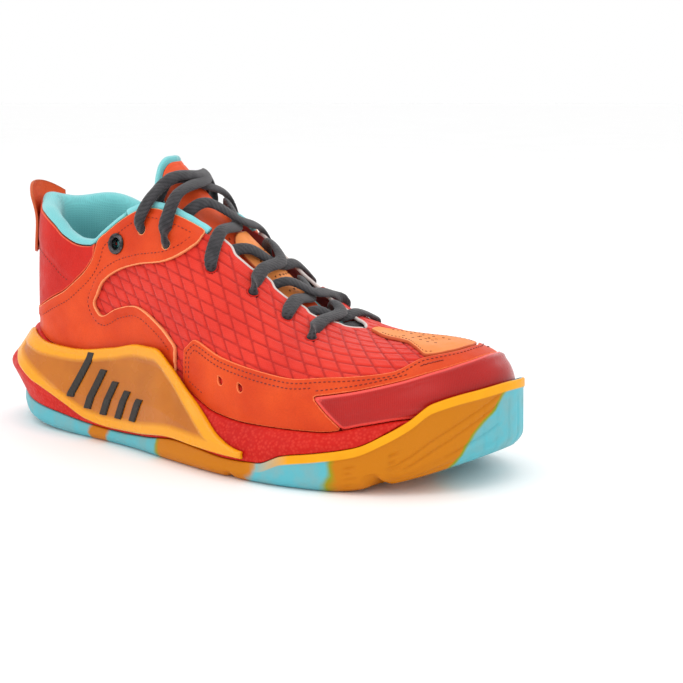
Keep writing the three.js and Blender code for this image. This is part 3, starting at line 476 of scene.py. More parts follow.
# where a rounded rim has its rows, as shares of its width
RIM_MARKS = np.array([0, 0.12, 0.35, 0.7, 1.0, 1.6])


def rounded(d, r, floor=0.3):
    """Share of the full thickness at distance d from a rim rounded over r."""
    t = 1 - np.clip(d / r, 0, 1)
    return floor + (1 - floor) * np.sqrt(1 - t * t)


def plate(name, us, low, high, lift_in, lift_out, material, rides, nv=24, rim=0.8, relief=None, ends=True,
          join_top=False, **facts):
    """A layer of the upper between two edges given as functions of u, with a rounded rim."""
    us = np.asarray(us, float)
    lows, highs = low(us), high(us)
    length = total(us)
    t = np.linspace(0, 1, nv + 1)
    rim_at = RIM_MARKS * rim
    rows = []
    for lo, hi, size in zip(lows, highs, length):
        span = max((hi - lo) * size, 0.02)
        k = min(1.0, 0.45 * span / rim_at[-1])
        inner = np.linspace(rim_at[-1] * k, span - (0 if join_top else rim_at[-1] * k), nv + 1)
        tail = [] if join_top else (span - rim_at[:-1] * k)[::-1]
        rows.append(np.concatenate([rim_at[:-1] * k, inner, tail]))
    mm = np.array(rows)
    span = mm[:, -1:]
    v = lows[:, None] + mm / length[:, None]
    u = np.repeat(us[:, None], mm.shape[1], 1)
    d = mm if join_top else np.minimum(mm, span - mm)
    if ends:
        s = s_of(us)
        along = np.minimum(s - s[0], s[-1] - s)[:, None]
        d = np.minimum(d, along)
    lin, lout = value_at(lift_in, u, v), value_at(lift_out, u, v)
    face = lerp(lin, lout, rounded(d, rim))
    if relief is not None:
        face = face + relief(u, v, d)
    chart = np.stack([s_of(u), v * length[:, None]], -1)
    shell = closed_shell(lifted(u, v, face), lifted(u, v, lin), chart, d, join_top=join_top)
    return shell_piece(name, shell, material, rides, weld=0.004 if join_top else 0, **facts)


def end_stations(low, high, step, rim_mm=1.2):
    """Stations from low to high, with closer ones at both ends."""
    a = u_of(s_of(low) + RIM_MARKS[:-1] * rim_mm)
    b = u_of(s_of(high) - RIM_MARKS[:-1] * rim_mm)[::-1]
    n = max(int((b[0] - a[-1]) / step), 2)
    return np.concatenate([a, np.linspace(a[-1], b[0], n + 1)[1:-1], b])


def to_chart(u, v):
    u, v = both(u, v)
    return np.stack([s_of(u), v * total(u)], -1)


def resample(points, step):
    """A closed loop with its points evenly spaced."""
    points = np.vstack([points, points[:1]])
    size = run_length(points)
    n = max(int(round(size[-1] / step)), 6)
    return at_lengths(points, size, np.linspace(0, size[-1], n + 1))[:-1]


def inside(points, loops):
    """Which points are inside an odd number of the loops."""
    hit = np.zeros(len(points), bool)
    for loop in loops:
        a, b = loop, np.roll(loop, -1, 0)
        for p, q in zip(a, b):
            crosses = (p[1] > points[:, 1]) != (q[1] > points[:, 1])
            with np.errstate(divide="ignore", invalid="ignore"):
                x = p[0] + (points[:, 1] - p[1]) * (q[0] - p[0]) / (q[1] - p[1])
            hit ^= crosses & (points[:, 0] < x)
    return hit


def distance_to(points, loops):
    best = np.full(len(points), 1e9)
    for loop in loops:
        a, b = loop, np.roll(loop, -1, 0)
        for p, q in zip(a, b):
            d = q - p
            t = np.clip(((points - p) @ d) / max(d @ d, 1e-12), 0, 1)
            best = np.minimum(best, np.hypot(*(points - p - t[:, None] * d).T))
    return best


def patch(name, loops, lift_in, lift_out, material, rides, step=1.6, rim=0.5, relief=None, **facts):
    """A layer with any outline and holes, drawn as loops in the chart (mm), with a cut edge."""
    loops = [resample(loop, 1.1) for loop in loops]
    low, high = loops[0].min(0), loops[0].max(0)
    xs, ys = np.arange(low[0], high[0], step), np.arange(low[1], high[1], step * 0.866)
    gx, gy = np.meshgrid(xs, ys)
    gx = gx + (np.arange(len(ys)) % 2)[:, None] * step / 2
    grid = np.stack([gx.ravel(), gy.ravel()], -1)
    grid = grid[inside(grid, loops)]
    grid = grid[distance_to(grid, loops) > rim * 1.9 + 0.3]
    extra = []
    for loop in loops:
        tangent = unit(np.roll(loop, -1, 0) - np.roll(loop, 1, 0))
        across = np.stack([-tangent[:, 1], tangent[:, 0]], -1)
        for d in (0.25 * rim, rim, 1.9 * rim):
            for side in (1, -1):
                ring = loop + across * d * side
                ring = ring[inside(ring, loops)]
                if len(ring):
                    extra.append(ring[distance_to(ring, loops) > 0.92 * d])
    points = np.concatenate(loops + extra + [grid])
    edges, start = [], 0
    for loop in loops:
        n = len(loop)
        edges += [(start + i, start + (i + 1) % n) for i in range(n)]
        start += n
    result = delaunay_2d_cdt([Vector(p) for p in points.tolist()], edges, [], 0, 1e-5)
    flat = np.array([[p[0], p[1]] for p in result[0]])
    faces = np.array([f for f in result[2] if len(f) == 3])
    centre = flat[faces].mean(1)
    faces = faces[inside(centre, loops)]
    used, faces = np.unique(faces, return_inverse=True)
    faces = faces.reshape(-1, 3)
    flat = flat[used]
    d = distance_to(flat, loops)
    u = u_of(flat[:, 0])
    v = flat[:, 1] / total(u)
    lin, lout = value_at(lift_in, u, v), value_at(lift_out, u, v)
    face = lerp(lin, lout, rounded(d, rim, 0.72))
    if relief is not None:
        face = face + relief(u, v, d)
    n = len(flat)
    edge_count = {}
    for f in faces:
        for a, b in ((f[0], f[1]), (f[1], f[2]), (f[2], f[0])):
            edge_count[(a, b)] = 1
    border = [(a, b) for (a, b) in edge_count if (b, a) not in edge_count]
    walls = [(b, a, a + n, b + n) for a, b in border]
    points = np.concatenate([lifted(u, v, face), lifted(u, v, lin)])
    all_faces = [tuple(f) for f in faces] + [tuple(f[::-1] + n) for f in faces] + walls
    return mesh_piece(name, points, all_faces, material, rides, uv=np.concatenate([flat, flat]),
                      edge=np.concatenate([d, d]), **facts)


def path_mm(u, v, lift, step=0.5):
    """Points and normals along a line drawn on the last, evenly spaced."""
    p = lifted(u, v, lift)
    n = normal(u, v)
    size = run_length(p)
    at = np.arange(0, size[-1], step)
    return at_lengths(p, size, at), unit(at_lengths(n, size, at))


def circle(one, two, count):
    a = np.arange(count) / count * 2 * np.pi
    return np.cos(a)[:, None] * one + np.sin(a)[:, None] * two


def capped_faces(rows, columns):
    """Faces of a tube of closed rings, with both its ends filled."""
    faces = [tuple(f) for f in grid_faces(rows, columns, wrap_columns=True)]
    return faces + [tuple(range(columns))[::-1], tuple(range((rows - 1) * columns, rows * columns))]


class Bag:
    """Collects many small closed bits into one piece."""
    def __init__(self):
        self.points, self.faces, self.count = [], [], 0

    def add(self, points, faces):
        self.points.append(points)
        self.faces += [tuple(int(i) + self.count for i in f) for f in faces]
        self.count += len(points)

    def piece(self, name, material, rides, **facts):
        return mesh_piece(name, np.concatenate(self.points), self.faces, material, rides, **facts)


STITCH_SIDES = 6


def stitches(bag, points, normals, pitch=2.7, size=2.1, radius=0.3, sink=0.12):
    """Short raised threads along a line."""
    steps = run_length(points)
    for at in np.arange(pitch / 2, steps[-1] - pitch / 2, pitch):
        ends = at_lengths(points, steps, at + np.array([-size / 2, size / 2]))
        n = unit(at_lengths(normals, steps, at))
        along = unit(ends[1] - ends[0])
        side = unit(np.cross(n, along))
        n = np.cross(along, side)
        rings = []
        for t, w in ((-1, 0.35), (-0.72, 0.85), (0, 1), (0.72, 0.85), (1, 0.35)):
            centre = (ends[0] + ends[1]) / 2 + along * t * size / 2 + n * (radius * 0.7 * (1 - t * t) - sink)
            rings.append(centre + radius * w * circle(side, n, STITCH_SIDES))
        bag.add(np.concatenate(rings), capped_faces(5, STITCH_SIDES))


UNTWIST = 0.12  # how fast a tube turns its flat side back to the surface, per step


def sweep(points, normals, half_width, half_height, sides=12, relief=None):
    """An oval tube along a line, its width lying across the normals."""
    n = len(points)
    tangent = unit(np.gradient(points, axis=0))
    up_now = unit(normals[0] - (normals[0] @ tangent[0]) * tangent[0])
    ups = []
    for i in range(n):
        carried = unit(up_now - (up_now @ tangent[i]) * tangent[i])
        wish = normals[i] - (normals[i] @ tangent[i]) * tangent[i]
        strength = min(np.linalg.norm(wish), 1.0)
        up_now = unit(carried * (1 - UNTWIST * strength) + wish * UNTWIST)
        up_now = unit(up_now - (up_now @ tangent[i]) * tangent[i])
        ups.append(up_now)
    ups = np.array(ups)
    side = np.cross(tangent, ups)
    angle = np.arange(sides) / sides * 2 * np.pi
    w = np.broadcast_to(half_width, (n,))[:, None] * np.cos(angle)[None]
    h = np.broadcast_to(half_height, (n,))[:, None] * np.sin(angle)[None]
    size = run_length(points)
    grow = 1 if relief is None else relief(size[:, None], angle[None, :])
    grid = points[:, None] + side[:, None] * (w * grow)[..., None] + ups[:, None] * (h * grow)[..., None]
    uv = np.stack(np.broadcast_arrays(size[:, None], angle[None] * 2.5), -1).reshape(-1, 2)
    return grid.reshape(-1, 3), capped_faces(n, sides), uv


# ------------------------------------------------------------------ materials
class Paint:
    """A node material built up from small helpers."""
    def __init__(self, name, roughness=0.5, **sockets):
        self.material = bpy.data.materials.new(name)
        self.material.use_nodes = True
        self.tree = self.material.node_tree
        self.shader = self.tree.nodes["Principled BSDF"]
        self.shader.inputs["Roughness"].default_value = roughness
        self.shader.inputs["Specular IOR Level"].default_value = 0.2
        for key, value in sockets.items():
            self.shader.inputs[key.replace("_", " ")].default_value = value
        self.coords = self.tree.nodes.new("ShaderNodeTexCoord")

    def feed(self, socket, value):
        if isinstance(value, bpy.types.NodeSocket):
            self.tree.links.new(value, socket)
        elif value is not None:
            socket.default_value = value

    def node(self, kind, out=0, settings=None, **inputs):
        node = self.tree.nodes.new(kind)
        for key, value in (settings or {}).items():
            setattr(node, key, value)
        for key, value in inputs.items():
            self.feed(node.inputs[key.replace("_", " ")], value)
        return node.outputs[out]

    @property
    def place(self):
        return self.coords.outputs["Object"]

    def noise(self, scale, detail=2.0):
        return self.node("ShaderNodeTexNoise", Vector=self.place, Scale=scale, Detail=detail)

    def cells(self, scale):
        return self.node("ShaderNodeTexVoronoi", Vector=self.place, Scale=scale)

    def wave(self, period, direction="X", bend=0.0):
        """Bands of the given period in mm on the chart."""
        return self.node("ShaderNodeTexWave", out=1, settings={"bands_direction": direction},
                         Vector=self.coords.outputs["UV"], Scale=math.pi / (10 * period), Distortion=bend)

    def math(self, operation, a, b=None):
        node = self.tree.nodes.new("ShaderNodeMath")
        node.operation = operation
        self.feed(node.inputs[0], a)
        self.feed(node.inputs[1], b)
        return node.outputs[0]

    def mix(self, factor, a, b):
        node = self.tree.nodes.new("ShaderNodeMix")
        node.data_type = "RGBA"
        self.feed(node.inputs[0], factor)
        self.feed(node.inputs[6], a)
        self.feed(node.inputs[7], b)
        return node.outputs[2]

    def span(self, value, low, high, to_low=0.0, to_high=1.0):
        node = self.tree.nodes.new("ShaderNodeMapRange")
        self.feed(node.inputs[0], value)
        for i, number in enumerate((low, high, to_low, to_high)):
            node.inputs[i + 1].default_value = number
        return node.outputs[0]

    def ramp(self, factor, stops):
        node = self.tree.nodes.new("ShaderNodeValToRGB")
        self.feed(node.inputs[0], factor)
        ramp = node.color_ramp
        while len(ramp.elements) < len(stops):
            ramp.elements.new(0.5)
        for element, (at, color) in zip(ramp.elements, stops):
            element.position = at
            element.color = color
        return node.outputs[0]

    def edge(self):
        return self.node("ShaderNodeAttribute", out=2, settings={"attribute_name": "edge"})

    def split(self, vector):
        node = self.tree.nodes.new("ShaderNodeSeparateXYZ")
        self.feed(node.inputs[0], vector)
        return node.outputs

    def bump(self, height, distance_mm, strength=1.0):
        node = self.tree.nodes.new("ShaderNodeBump")
        node.inputs["Strength"].default_value = strength
        node.inputs["Distance"].default_value = distance_mm / 1000
        self.feed(node.inputs["Height"], height)
        previous = self.shader.inputs["Normal"]
        if previous.is_linked:
            self.feed(node.inputs["Normal"], previous.links[0].from_socket)
        self.tree.links.new(node.outputs[0], previous)

    def color(self, value):
        self.feed(self.shader.inputs["Base Color"], value)

    def rough(self, low, high, scale=180):
        self.feed(self.shader.inputs["Roughness"], self.span(self.noise(scale, 3), 0.3, 0.7, low, high))


def leather(name, base, shade, cut=None, grain=1.0, cut_width=0.3, grain_scale=1500):
    """Grained leather in two tones, with the raw colour of its cut edge."""
    p = Paint(name)
    tone = p.mix(p.span(p.noise(35, 3), 0.35, 0.65), rgb(*base), rgb(*shade))
    fine = p.mix(p.span(p.cells(grain_scale), 0.0, 0.9, 0.0, 0.16), tone, rgb(*[c * 0.6 for c in shade]))
    if cut:
        worn = p.math("ADD", p.edge(), p.span(p.noise(900), 0.3, 0.7, -0.12, 0.12))
        fine = p.mix(p.span(worn, cut_width, cut_width + 0.25), rgb(*cut), fine)
    p.color(fine)
    p.rough(0.42, 0.58)
    p.bump(p.cells(grain_scale), 0.07 * grain, 0.6)
    p.bump(p.noise(420, 4), 0.12 * grain, 0.5)
    return p.material


def cloth(name, base, shade, period=1.0, depth=0.12, sheen=0.25, rough=0.85):
    """Woven cloth or thread with the given period of weave, mm."""
    p = Paint(name, roughness=rough)
    p.shader.inputs["Sheen Weight"].default_value = sheen
    weave = p.math("MULTIPLY", p.wave(period, "X"), p.wave(period, "Y"))
    fleck = p.math("MAXIMUM", p.wave(period * 0.5, "DIAGONAL"), weave)
    tone = p.mix(p.span(p.noise(60, 4), 0.35, 0.65, 0, 0.4), rgb(*base), rgb(*shade))
    p.color(p.mix(p.span(fleck, 0.0, 1.0, 0.35, 0.0), tone, rgb(*[c * 0.72 for c in shade])))
    p.bump(fleck, depth, 0.8)
    p.bump(p.noise(1500, 2), 0.05, 0.5)
    return p.material


ORANGE, ORANGE_DARK = (228, 76, 22), (208, 58, 14)
PEACH = (246, 158, 104)
CYAN = (126, 212, 214)
orange_leather = leather("leather_orange", ORANGE, ORANGE_DARK, cut=PEACH)
mudguard_leather = leather("leather_mudguard", (228, 80, 24), (210, 62, 16), cut=(240, 120, 70))
red_leather = leather("leather_red", (206, 30, 16), (186, 22, 12), cut=(232, 96, 66), grain=1.8,
                      grain_scale=1100)
pale_leather = leather("leather_pale", (246, 154, 84), (240, 140, 70), cut=(200, 96, 56), grain=0.6,
                       cut_width=0.5)
tab_leather = leather("leather_tab", (236, 96, 44), (216, 72, 30), cut=(196, 92, 52), grain=2.4,
                      cut_width=0.35, grain_scale=800)
tongue_leather = leather("leather_tongue", (238, 92, 44), (222, 76, 34), cut=(90, 40, 30), grain=0.7,
                         cut_width=0.35)
lining_cloth = cloth("lining_cyan", CYAN, (104, 190, 196), period=1.1, depth=0.14, sheen=0.5)
binding_cloth = cloth("binding_cyan", (140, 222, 226), (112, 198, 204), period=0.8, depth=0.1, sheen=0.3)
webbing_cloth = cloth("webbing_red", (214, 62, 44), (188, 44, 34), period=0.9, depth=0.2, rough=0.7)
sock_cloth = cloth("sockliner", (96, 180, 188), (70, 150, 160), period=1.3, depth=0.12)
white_edge = cloth("edge_white", (238, 226, 220), (216, 200, 194), period=0.6, depth=0.05)
thread_dark = cloth("thread_dark", (150, 38, 20), (124, 28, 16), period=0.4, depth=0.05, rough=0.6)
thread_silver = cloth("thread_silver", (206, 206, 212), (172, 174, 182), period=0.4, depth=0.05, rough=0.4)


def mesh_fabric():
    p = Paint("mesh_red", roughness=0.6)
    p.shader.inputs["Sheen Weight"].default_value = 0.2
    tone = p.mix(p.span(p.noise(30, 3), 0.35, 0.65), rgb(230, 54, 34), rgb(216, 44, 28))
    weave = p.math("MULTIPLY", p.wave(0.9, "X"), p.wave(0.9, "Y"))
    tone = p.mix(p.span(weave, 0, 1, 0.2, 0.0), tone, rgb(186, 26, 20))
    # painted shade: the grooves of the diamond relief are coloured darker, driven by the distance to the groove
    # carried in the edge attribute
    groove_shade_distance = p.span(p.edge(), 0.1, 0.7)
    tone = p.mix(groove_shade_distance, rgb(178, 26, 18), tone)
    p.color(tone)
    p.rough(0.5, 0.68)
    p.bump(weave, 0.12, 0.7)
    p.bump(p.noise(1200, 2), 0.05, 0.6)
    return p.material


TIP_SLANT, TIP_RISE = (0.809, 0.588), -0.78  # direction in which the cyan of the toe begins
TIP_START = 0.0907
LIP = (3.6, 4.2)  # mm below the rim where the amber lip ends


def marbled_rubber():
    """Amber and cyan rubber run together in zones along the shoe, green where they have mixed."""
    p = Paint("rubber_marbled", roughness=0.5)
    x, y, z = p.split(p.place)[:3]
    swirl = p.math("MULTIPLY", p.math("SUBTRACT", p.noise(45, 3), 0.5), 0.022)
    along = p.math("ADD", p.math("SUBTRACT", x, p.math("MULTIPLY", z, 0.3)), swirl)
    amber, cyan, green = rgb(198, 118, 0), rgb(92, 180, 192), rgb(130, 150, 24)
    zones = [(-160, cyan), (-73, cyan), (-72, amber), (-56, amber), (-55, cyan), (-21, cyan), (-19, green),
             (-16, amber), (51, amber), (54, cyan), (84, cyan), (87, green), (91, amber), (170, amber)]
    low, high = zones[0][0], zones[-1][0]
    stops = [((at - low) / (high - low), color) for at, color in zones]
    zone = p.ramp(p.span(along, (low + SHIFT[0]) / 1000, (high + SHIFT[0]) / 1000), stops)
    front = p.math("ADD", p.math("MULTIPLY", x, TIP_SLANT[0]), p.math("MULTIPLY", y, TIP_SLANT[1]))
    front = p.math("ADD", front, p.math("MULTIPLY", z, TIP_RISE))
    front = p.math("ADD", front, p.math("MULTIPLY", swirl, 0.4))
    zone = p.mix(p.span(front, TIP_START, TIP_START + 0.0012), zone, green)
    zone = p.mix(p.span(front, TIP_START + 0.0015, TIP_START + 0.003), zone, cyan)
    fore = p.span(x, 0.055, 0.075)
    lip = p.math("MULTIPLY", p.span(p.edge(), *LIP, 1, 0), fore)
    zone = p.mix(lip, zone, rgb(240, 164, 10))
    zone = p.mix(p.span(p.noise(90, 4), 0.4, 0.75, 0, 0.22), zone, rgb(200, 120, 10))
    p.color(zone)
    p.rough(0.42, 0.6)
    p.bump(p.noise(700, 4), 0.1, 0.6)
    p.bump(p.cells(1800), 0.05, 0.6)
    return p.material


def foam():
    p = Paint("foam_red", roughness=0.55)
    tone = p.mix(p.span(p.noise(25, 3), 0.35, 0.65), rgb(206, 28, 14), rgb(188, 18, 10))
    speck = p.cells(620)
    p.color(p.mix(p.span(speck, 0.1, 0.6, 0.3, 0.0), tone, rgb(240, 80, 60)))
    p.rough(0.45, 0.65)
    p.bump(speck, 0.16, 0.8)
    p.bump(p.noise(260, 4), 0.2, 0.5)
    return p.material


def amber_plate():
    p = Paint("tpu_amber", roughness=0.22, Coat_Weight=0.3, Coat_Roughness=0.12, IOR=1.5)
    p.shader.inputs["Subsurface Weight"].default_value = 0.15
    p.shader.inputs["Subsurface Radius"].default_value = (0.006, 0.003, 0.001)
    p.shader.inputs["Subsurface Scale"].default_value = 1.0
    cloud = p.span(p.noise(28, 3), 0.35, 0.65)
    tone = p.mix(cloud, rgb(194, 110, 12), rgb(174, 94, 6))
    rim = p.span(p.edge(), 4.2, 7.0, 1, 0)
    tone = p.mix(rim, tone, rgb(236, 156, 10))
    p.color(tone)
    p.rough(0.16, 0.34, 90)
    p.bump(p.noise(240, 3), 0.12, 0.4)
    return p.material


def streaked_graphic():
    p = Paint("graphic_black", roughness=0.35)
    streak = p.wave(0.9, "X", bend=1.5)
    p.color(p.mix(p.span(streak, 0, 1, 0, 0.6), rgb(28, 27, 28), rgb(78, 70, 60)))
    p.rough(0.28, 0.5, 600)
    p.bump(streak, 0.14, 0.7)
    return p.material


def gloss_rand():
    p = Paint("rand_gloss", roughness=0.34, Coat_Weight=0.22, Coat_Roughness=0.2)
    tone = p.mix(p.span(p.noise(30, 2), 0.35, 0.65), rgb(172, 14, 10), rgb(154, 10, 8))
    # painted highlight: the rounded rim of the rand is coloured lighter
    tone = p.mix(p.span(p.edge(), 0.9, 1.6, 1, 0), tone, rgb(232, 74, 66))
    ribs = p.wave(0.8, "X")
    p.color(p.mix(p.span(ribs, 0, 1, 0, 0.12), tone, rgb(236, 90, 80)))
    p.rough(0.22, 0.36)
    p.bump(ribs, 0.05, 0.5)
    p.bump(p.noise(500, 3), 0.06, 0.5)
    return p.material


def braid():
    p = Paint("lace_grey", roughness=0.75)
    p.shader.inputs["Sheen Weight"].default_value = 0.25
    strands = p.math("MAXIMUM", p.wave(1.3, "DIAGONAL"), p.wave(0.7, "X"))
    tone = p.mix(p.span(p.noise(300, 3), 0.3, 0.7), rgb(66, 64, 67), rgb(46, 45, 48))
    p.color(p.mix(p.span(strands, 0.1, 0.8, 0.85, 0.0), tone, rgb(14, 14, 16)))
    p.bump(strands, 0.15, 0.8)
    return p.material


def black_metal():
    p = Paint("metal_black", roughness=0.25, Metallic=0.9)
    p.color(p.mix(p.span(p.noise(400, 3), 0.35, 0.7), rgb(40, 38, 40), rgb(96, 92, 94)))
    p.rough(0.18, 0.36, 900)
    p.bump(p.noise(1500, 2), 0.02, 0.5)
    return p.material


def hole_shade_paint():
    p = Paint("hole_painted_shade", roughness=0.9)
    # painted shade: the dark colour stands in for the shade inside a punched hole
    p.color(p.mix(p.span(p.noise(800, 2), 0.3, 0.7), rgb(70, 18, 12), rgb(44, 12, 10)))
    p.bump(p.noise(2000, 2), 0.05, 0.5)
    return p.material


mesh_red, rubber, foam_red, amber = mesh_fabric(), marbled_rubber(), foam(), amber_plate()
graphic, rand_red, lace_grey = streaked_graphic(), gloss_rand(), braid()
metal, painted_hole_shade = black_metal(), hole_shade_paint()

# ------------------------------------------------------------------ lace
HOLE_STATIONS = [6.5, 6.0, 5.45, 4.87, 4.22, 3.8]
HOLE_V = [0.62, 0.68, 0.68, 0.64, 0.6, 0.595]
EYELET_STATION, EYELET_V = 3.4, 0.5
LACE = 4.0
LACE_OVER = OVER_BASE + CLEARANCE + LACE / 2 - 0.5
LACE_UNDER = -(BASE + CLEARANCE + LACE / 2) + 0.1
LACE_OVER_BASE = 1.5
FIRST_QUARTER_ROW = 4
LOWER_CROSSING, UPPER_CROSSING = -1.2, 1.7
RIDGE_SHARE = 0.36
INSTEP_SAG = curve([[3.4, 0], [3.9, 4.5], [4.3, 6], [4.8, 4], [5.3, 1.6], [6.0, 0.4], [7.0, 0]])


def sag(u, v):
    """How far the tongue and the lace lie below the last's ridge, mm."""
    return INSTEP_SAG(np.clip(u, 3.4, 7.0)) * smooth((np.asarray(v, float) - 0.74) / 0.26)


def lace_point(side, u, v, lift):
    lift = lift - float(sag(u, v))
    u = on_side(u, side)
    return np.concatenate([lifted(u, v, lift), normal(u, v)])


def crossing(side, row, over_top):
    start, end = HOLE_STATIONS[row], HOLE_STATIONS[row + 1]
    edge_v = float(upper_edge(end))
    over = LACE_OVER if row >= FIRST_QUARTER_ROW else LACE_OVER_BASE
    return [
        lace_point(side, start, HOLE_V[row], 0.4),
        lace_point(side, lerp(start, end, 0.06), HOLE_V[row] + 0.022, over - 0.2),
        lace_point(side, lerp(start, end, 0.25), lerp(HOLE_V[row], 1, 0.45), over),
        lace_point(side, lerp(start, end, RIDGE_SHARE), 1, UPPER_CROSSING if over_top else LOWER_CROSSING),
        lace_point(-side, lerp(start, end, 0.8), lerp(edge_v, 1, 0.55), 1.6 if over_top else -0.6),
        lace_point(-side, lerp(start, end, 0.95), edge_v + 0.02, LACE_UNDER + 0.1),
        lace_point(-side, end, HOLE_V[row + 1] + 0.028, LACE_UNDER)]


def half_lace(side):
    points = []
    for row in range(len(HOLE_STATIONS) - 1):
        points += crossing(side if row % 2 == 0 else -side, row, side > 0)
    end = side if (len(HOLE_STATIONS) - 1) % 2 == 0 else -side
    u, v = HOLE_STATIONS[-1], HOLE_V[-1]
    lift = UPPER_CROSSING if side > 0 else LOWER_CROSSING
    last = [(end, 0, 0, 0.4), (end, -0.025, 0.022, LACE_OVER - 0.2), (end, 0.04, 0.12, LACE_OVER),
            (end, 0.1, 0.255, lift), (end, 0.2, 1 - v, lift), (-end, 0.12, 0.255, lift - 0.2),
            (-end, 0.02, 0.145, lift - 1.6), (-end, -0.06, 0.075, LACE_UNDER)]
    return points + [lace_point(s, u + du, v + dv, h) for s, du, dv, h in last]


def lace_route():
    u, v = HOLE_STATIONS[0], HOLE_V[0]
    front = [lace_point(-1, u, v + 0.03, LACE_UNDER), lace_point(-1, u, 0.86, LACE_UNDER),
             lace_point(1, u, 1, LACE_UNDER), lace_point(1, u, 0.86, LACE_UNDER),
             lace_point(1, u, v + 0.03, LACE_UNDER)]
    return np.array(half_lace(-1)[::-1] + front + half_lace(1))


def smooth_route(points, step=0.5):
    """The centripetal curve through the points, evenly spaced, with their normals."""
    padded_points = np.vstack([2 * points[:1] - points[1:2], points, 2 * points[-1:] - points[-2:-1]])
    out = []
    for i in range(len(points) - 1):
        p0, p1, p2, p3 = padded_points[i:i + 4]
        d0, d1, d2 = [max(np.linalg.norm((b - a)[:3]) ** 0.5, 1e-4)
                      for a, b in ((p0, p1), (p1, p2), (p2, p3))]
        t1 = ((p1 - p0) / d0 - (p2 - p0) / (d0 + d1) + (p2 - p1) / d1) * d1
        t2 = ((p2 - p1) / d1 - (p3 - p1) / (d1 + d2) + (p3 - p2) / d2) * d1
        t = np.linspace(0, 1, 25)[:-1, None]
        out.append((2 * t ** 3 - 3 * t ** 2 + 1) * p1 + (t ** 3 - 2 * t ** 2 + t) * t1
                   + (3 * t ** 2 - 2 * t ** 3) * p2 + (t ** 3 - t ** 2) * t2)
    line = np.vstack(out + [points[-1:]])
    size = run_length(line[:, :3])
    line = at_lengths(line, size, np.arange(0, size[-1], step))
    return line[:, :3], unit(line[:, 3:])


def make_lace():
    """A flat oval braid that turns round where it dives through a hole."""
    def strands(s, a):
        return 1 + 0.045 * np.maximum(np.sin(np.pi * s / 1.1 + 4 * a), np.sin(np.pi * s / 1.1 - 4 * a))

    route, normals = smooth_route(lace_route())
    dive = np.abs((unit(np.gradient(route, axis=0)) * normals).sum(-1))
    dive = smooth(1.3 * np.convolve(np.pad(dive, 8, mode="edge"), np.ones(17) / 17, "valid"))
    points, faces, uv = sweep(route, normals, lerp(3.4, 2.5, dive), lerp(1.25, 1.9, dive), sides=20,
                              relief=strands)
    mesh_piece("lace", points, faces, lace_grey, "rearfoot", uv=uv, replaces=["lace"], slot="lace_grey")


make_lace()

# ------------------------------------------------------------------ sole
SOLE_U = 0.5 + np.arange(TURN * 30) / 30
INNER_EDGE = 20.0  # distance to a rim given to what has no rim near


def ring(z, share=1.0, offset=0.0):
    off = offset(SOLE_U) if callable(offset) else np.full(len(SOLE_U), float(offset))
    xy = outline(SOLE_U, off)
    xy = lerp(station(SOLE_U)[:, 2:4], xy, share)
    return np.concatenate([xy, np.asarray(z(SOLE_U, xy[:, 0]))[:, None]], 1)


def sole_rings(rings, radii, counts):
    """Rings with their corners rounded and each run between them divided."""
    rows = [rings[0]]
    for k in range(1, len(rings) - 1):
        before, here, after = rings[k - 1], rings[k], rings[k + 1]
        a, b = before - here, after - here
        la = np.linalg.norm(a, axis=1, keepdims=True)
        lb = np.linalg.norm(b, axis=1, keepdims=True)
        ra, rb = np.minimum(radii[k], 0.45 * la), np.minimum(radii[k], 0.45 * lb)
        p, q = here + a / np.maximum(la, 1e-9) * ra, here + b / np.maximum(lb, 1e-9) * rb
        start = rows[-1]
        for i in range(1, counts[k - 1]):
            rows.append(lerp(start, p, i / counts[k - 1]))
        for t in (0, 0.25, 0.5, 0.75, 1):
            rows.append((1 - t) ** 2 * p + 2 * t * (1 - t) * here + t * t * q)
    start = rows[-1]
    for i in range(1, counts[-1] + 1):
        rows.append(lerp(start, rings[-1], i / counts[-1]))
    return np.array(rows)


def sole_piece(name, rows, material, edge, **facts):
    points = rows.reshape(-1, 3)
    faces = grid_faces(rows.shape[0], rows.shape[1], wrap_columns=True)
    depth = run_length(rows)
    uv = np.stack([np.broadcast_to(s_of(SOLE_U)[None], depth.shape), depth], -1).reshape(-1, 2)
    return mesh_piece(name, points, faces, material, "bend", uv=uv, edge=edge.ravel(), weld=0.01, **facts)


# ring counts of the outsole: up to UNDER_ROWS it is the tread, up to OUTER_ROWS the side that is seen
OUTSOLE_COUNTS = [12, 12, 8, 3, 44, 2, 8, 6, 4]
UNDER_ROWS, OUTER_ROWS = 42, 101
PIVOT, PIVOT_RADIUS = (88, 16), 22
# each of the side's curved grooves: start, rise, power
SIDE_CURVES = ((0.16, 0.62, 1.25), (0.05, 0.40, 1.4), (0.30, 0.60, 1.15), (0.0, 0.22, 1.6))
LUG_MARKS, LUG_STATIONS = ((0.12, 0.16), (0.28, 0.22), (0.42, 0.14), (0.55, 0.18)), (8.0, 7.45)
# each flex notch: x, slant, width, height, fade, depth
FLEX_NOTCHES = ((114, 0.1, 3.0, 7.5, 4, 4.2), (50, 0.2, 2.2, 4, 2, 1.6))


def grooves(x, period, level=0.5, soft=0.3):
    return smooth((np.cos(2 * np.pi * x / period) - level) / soft)


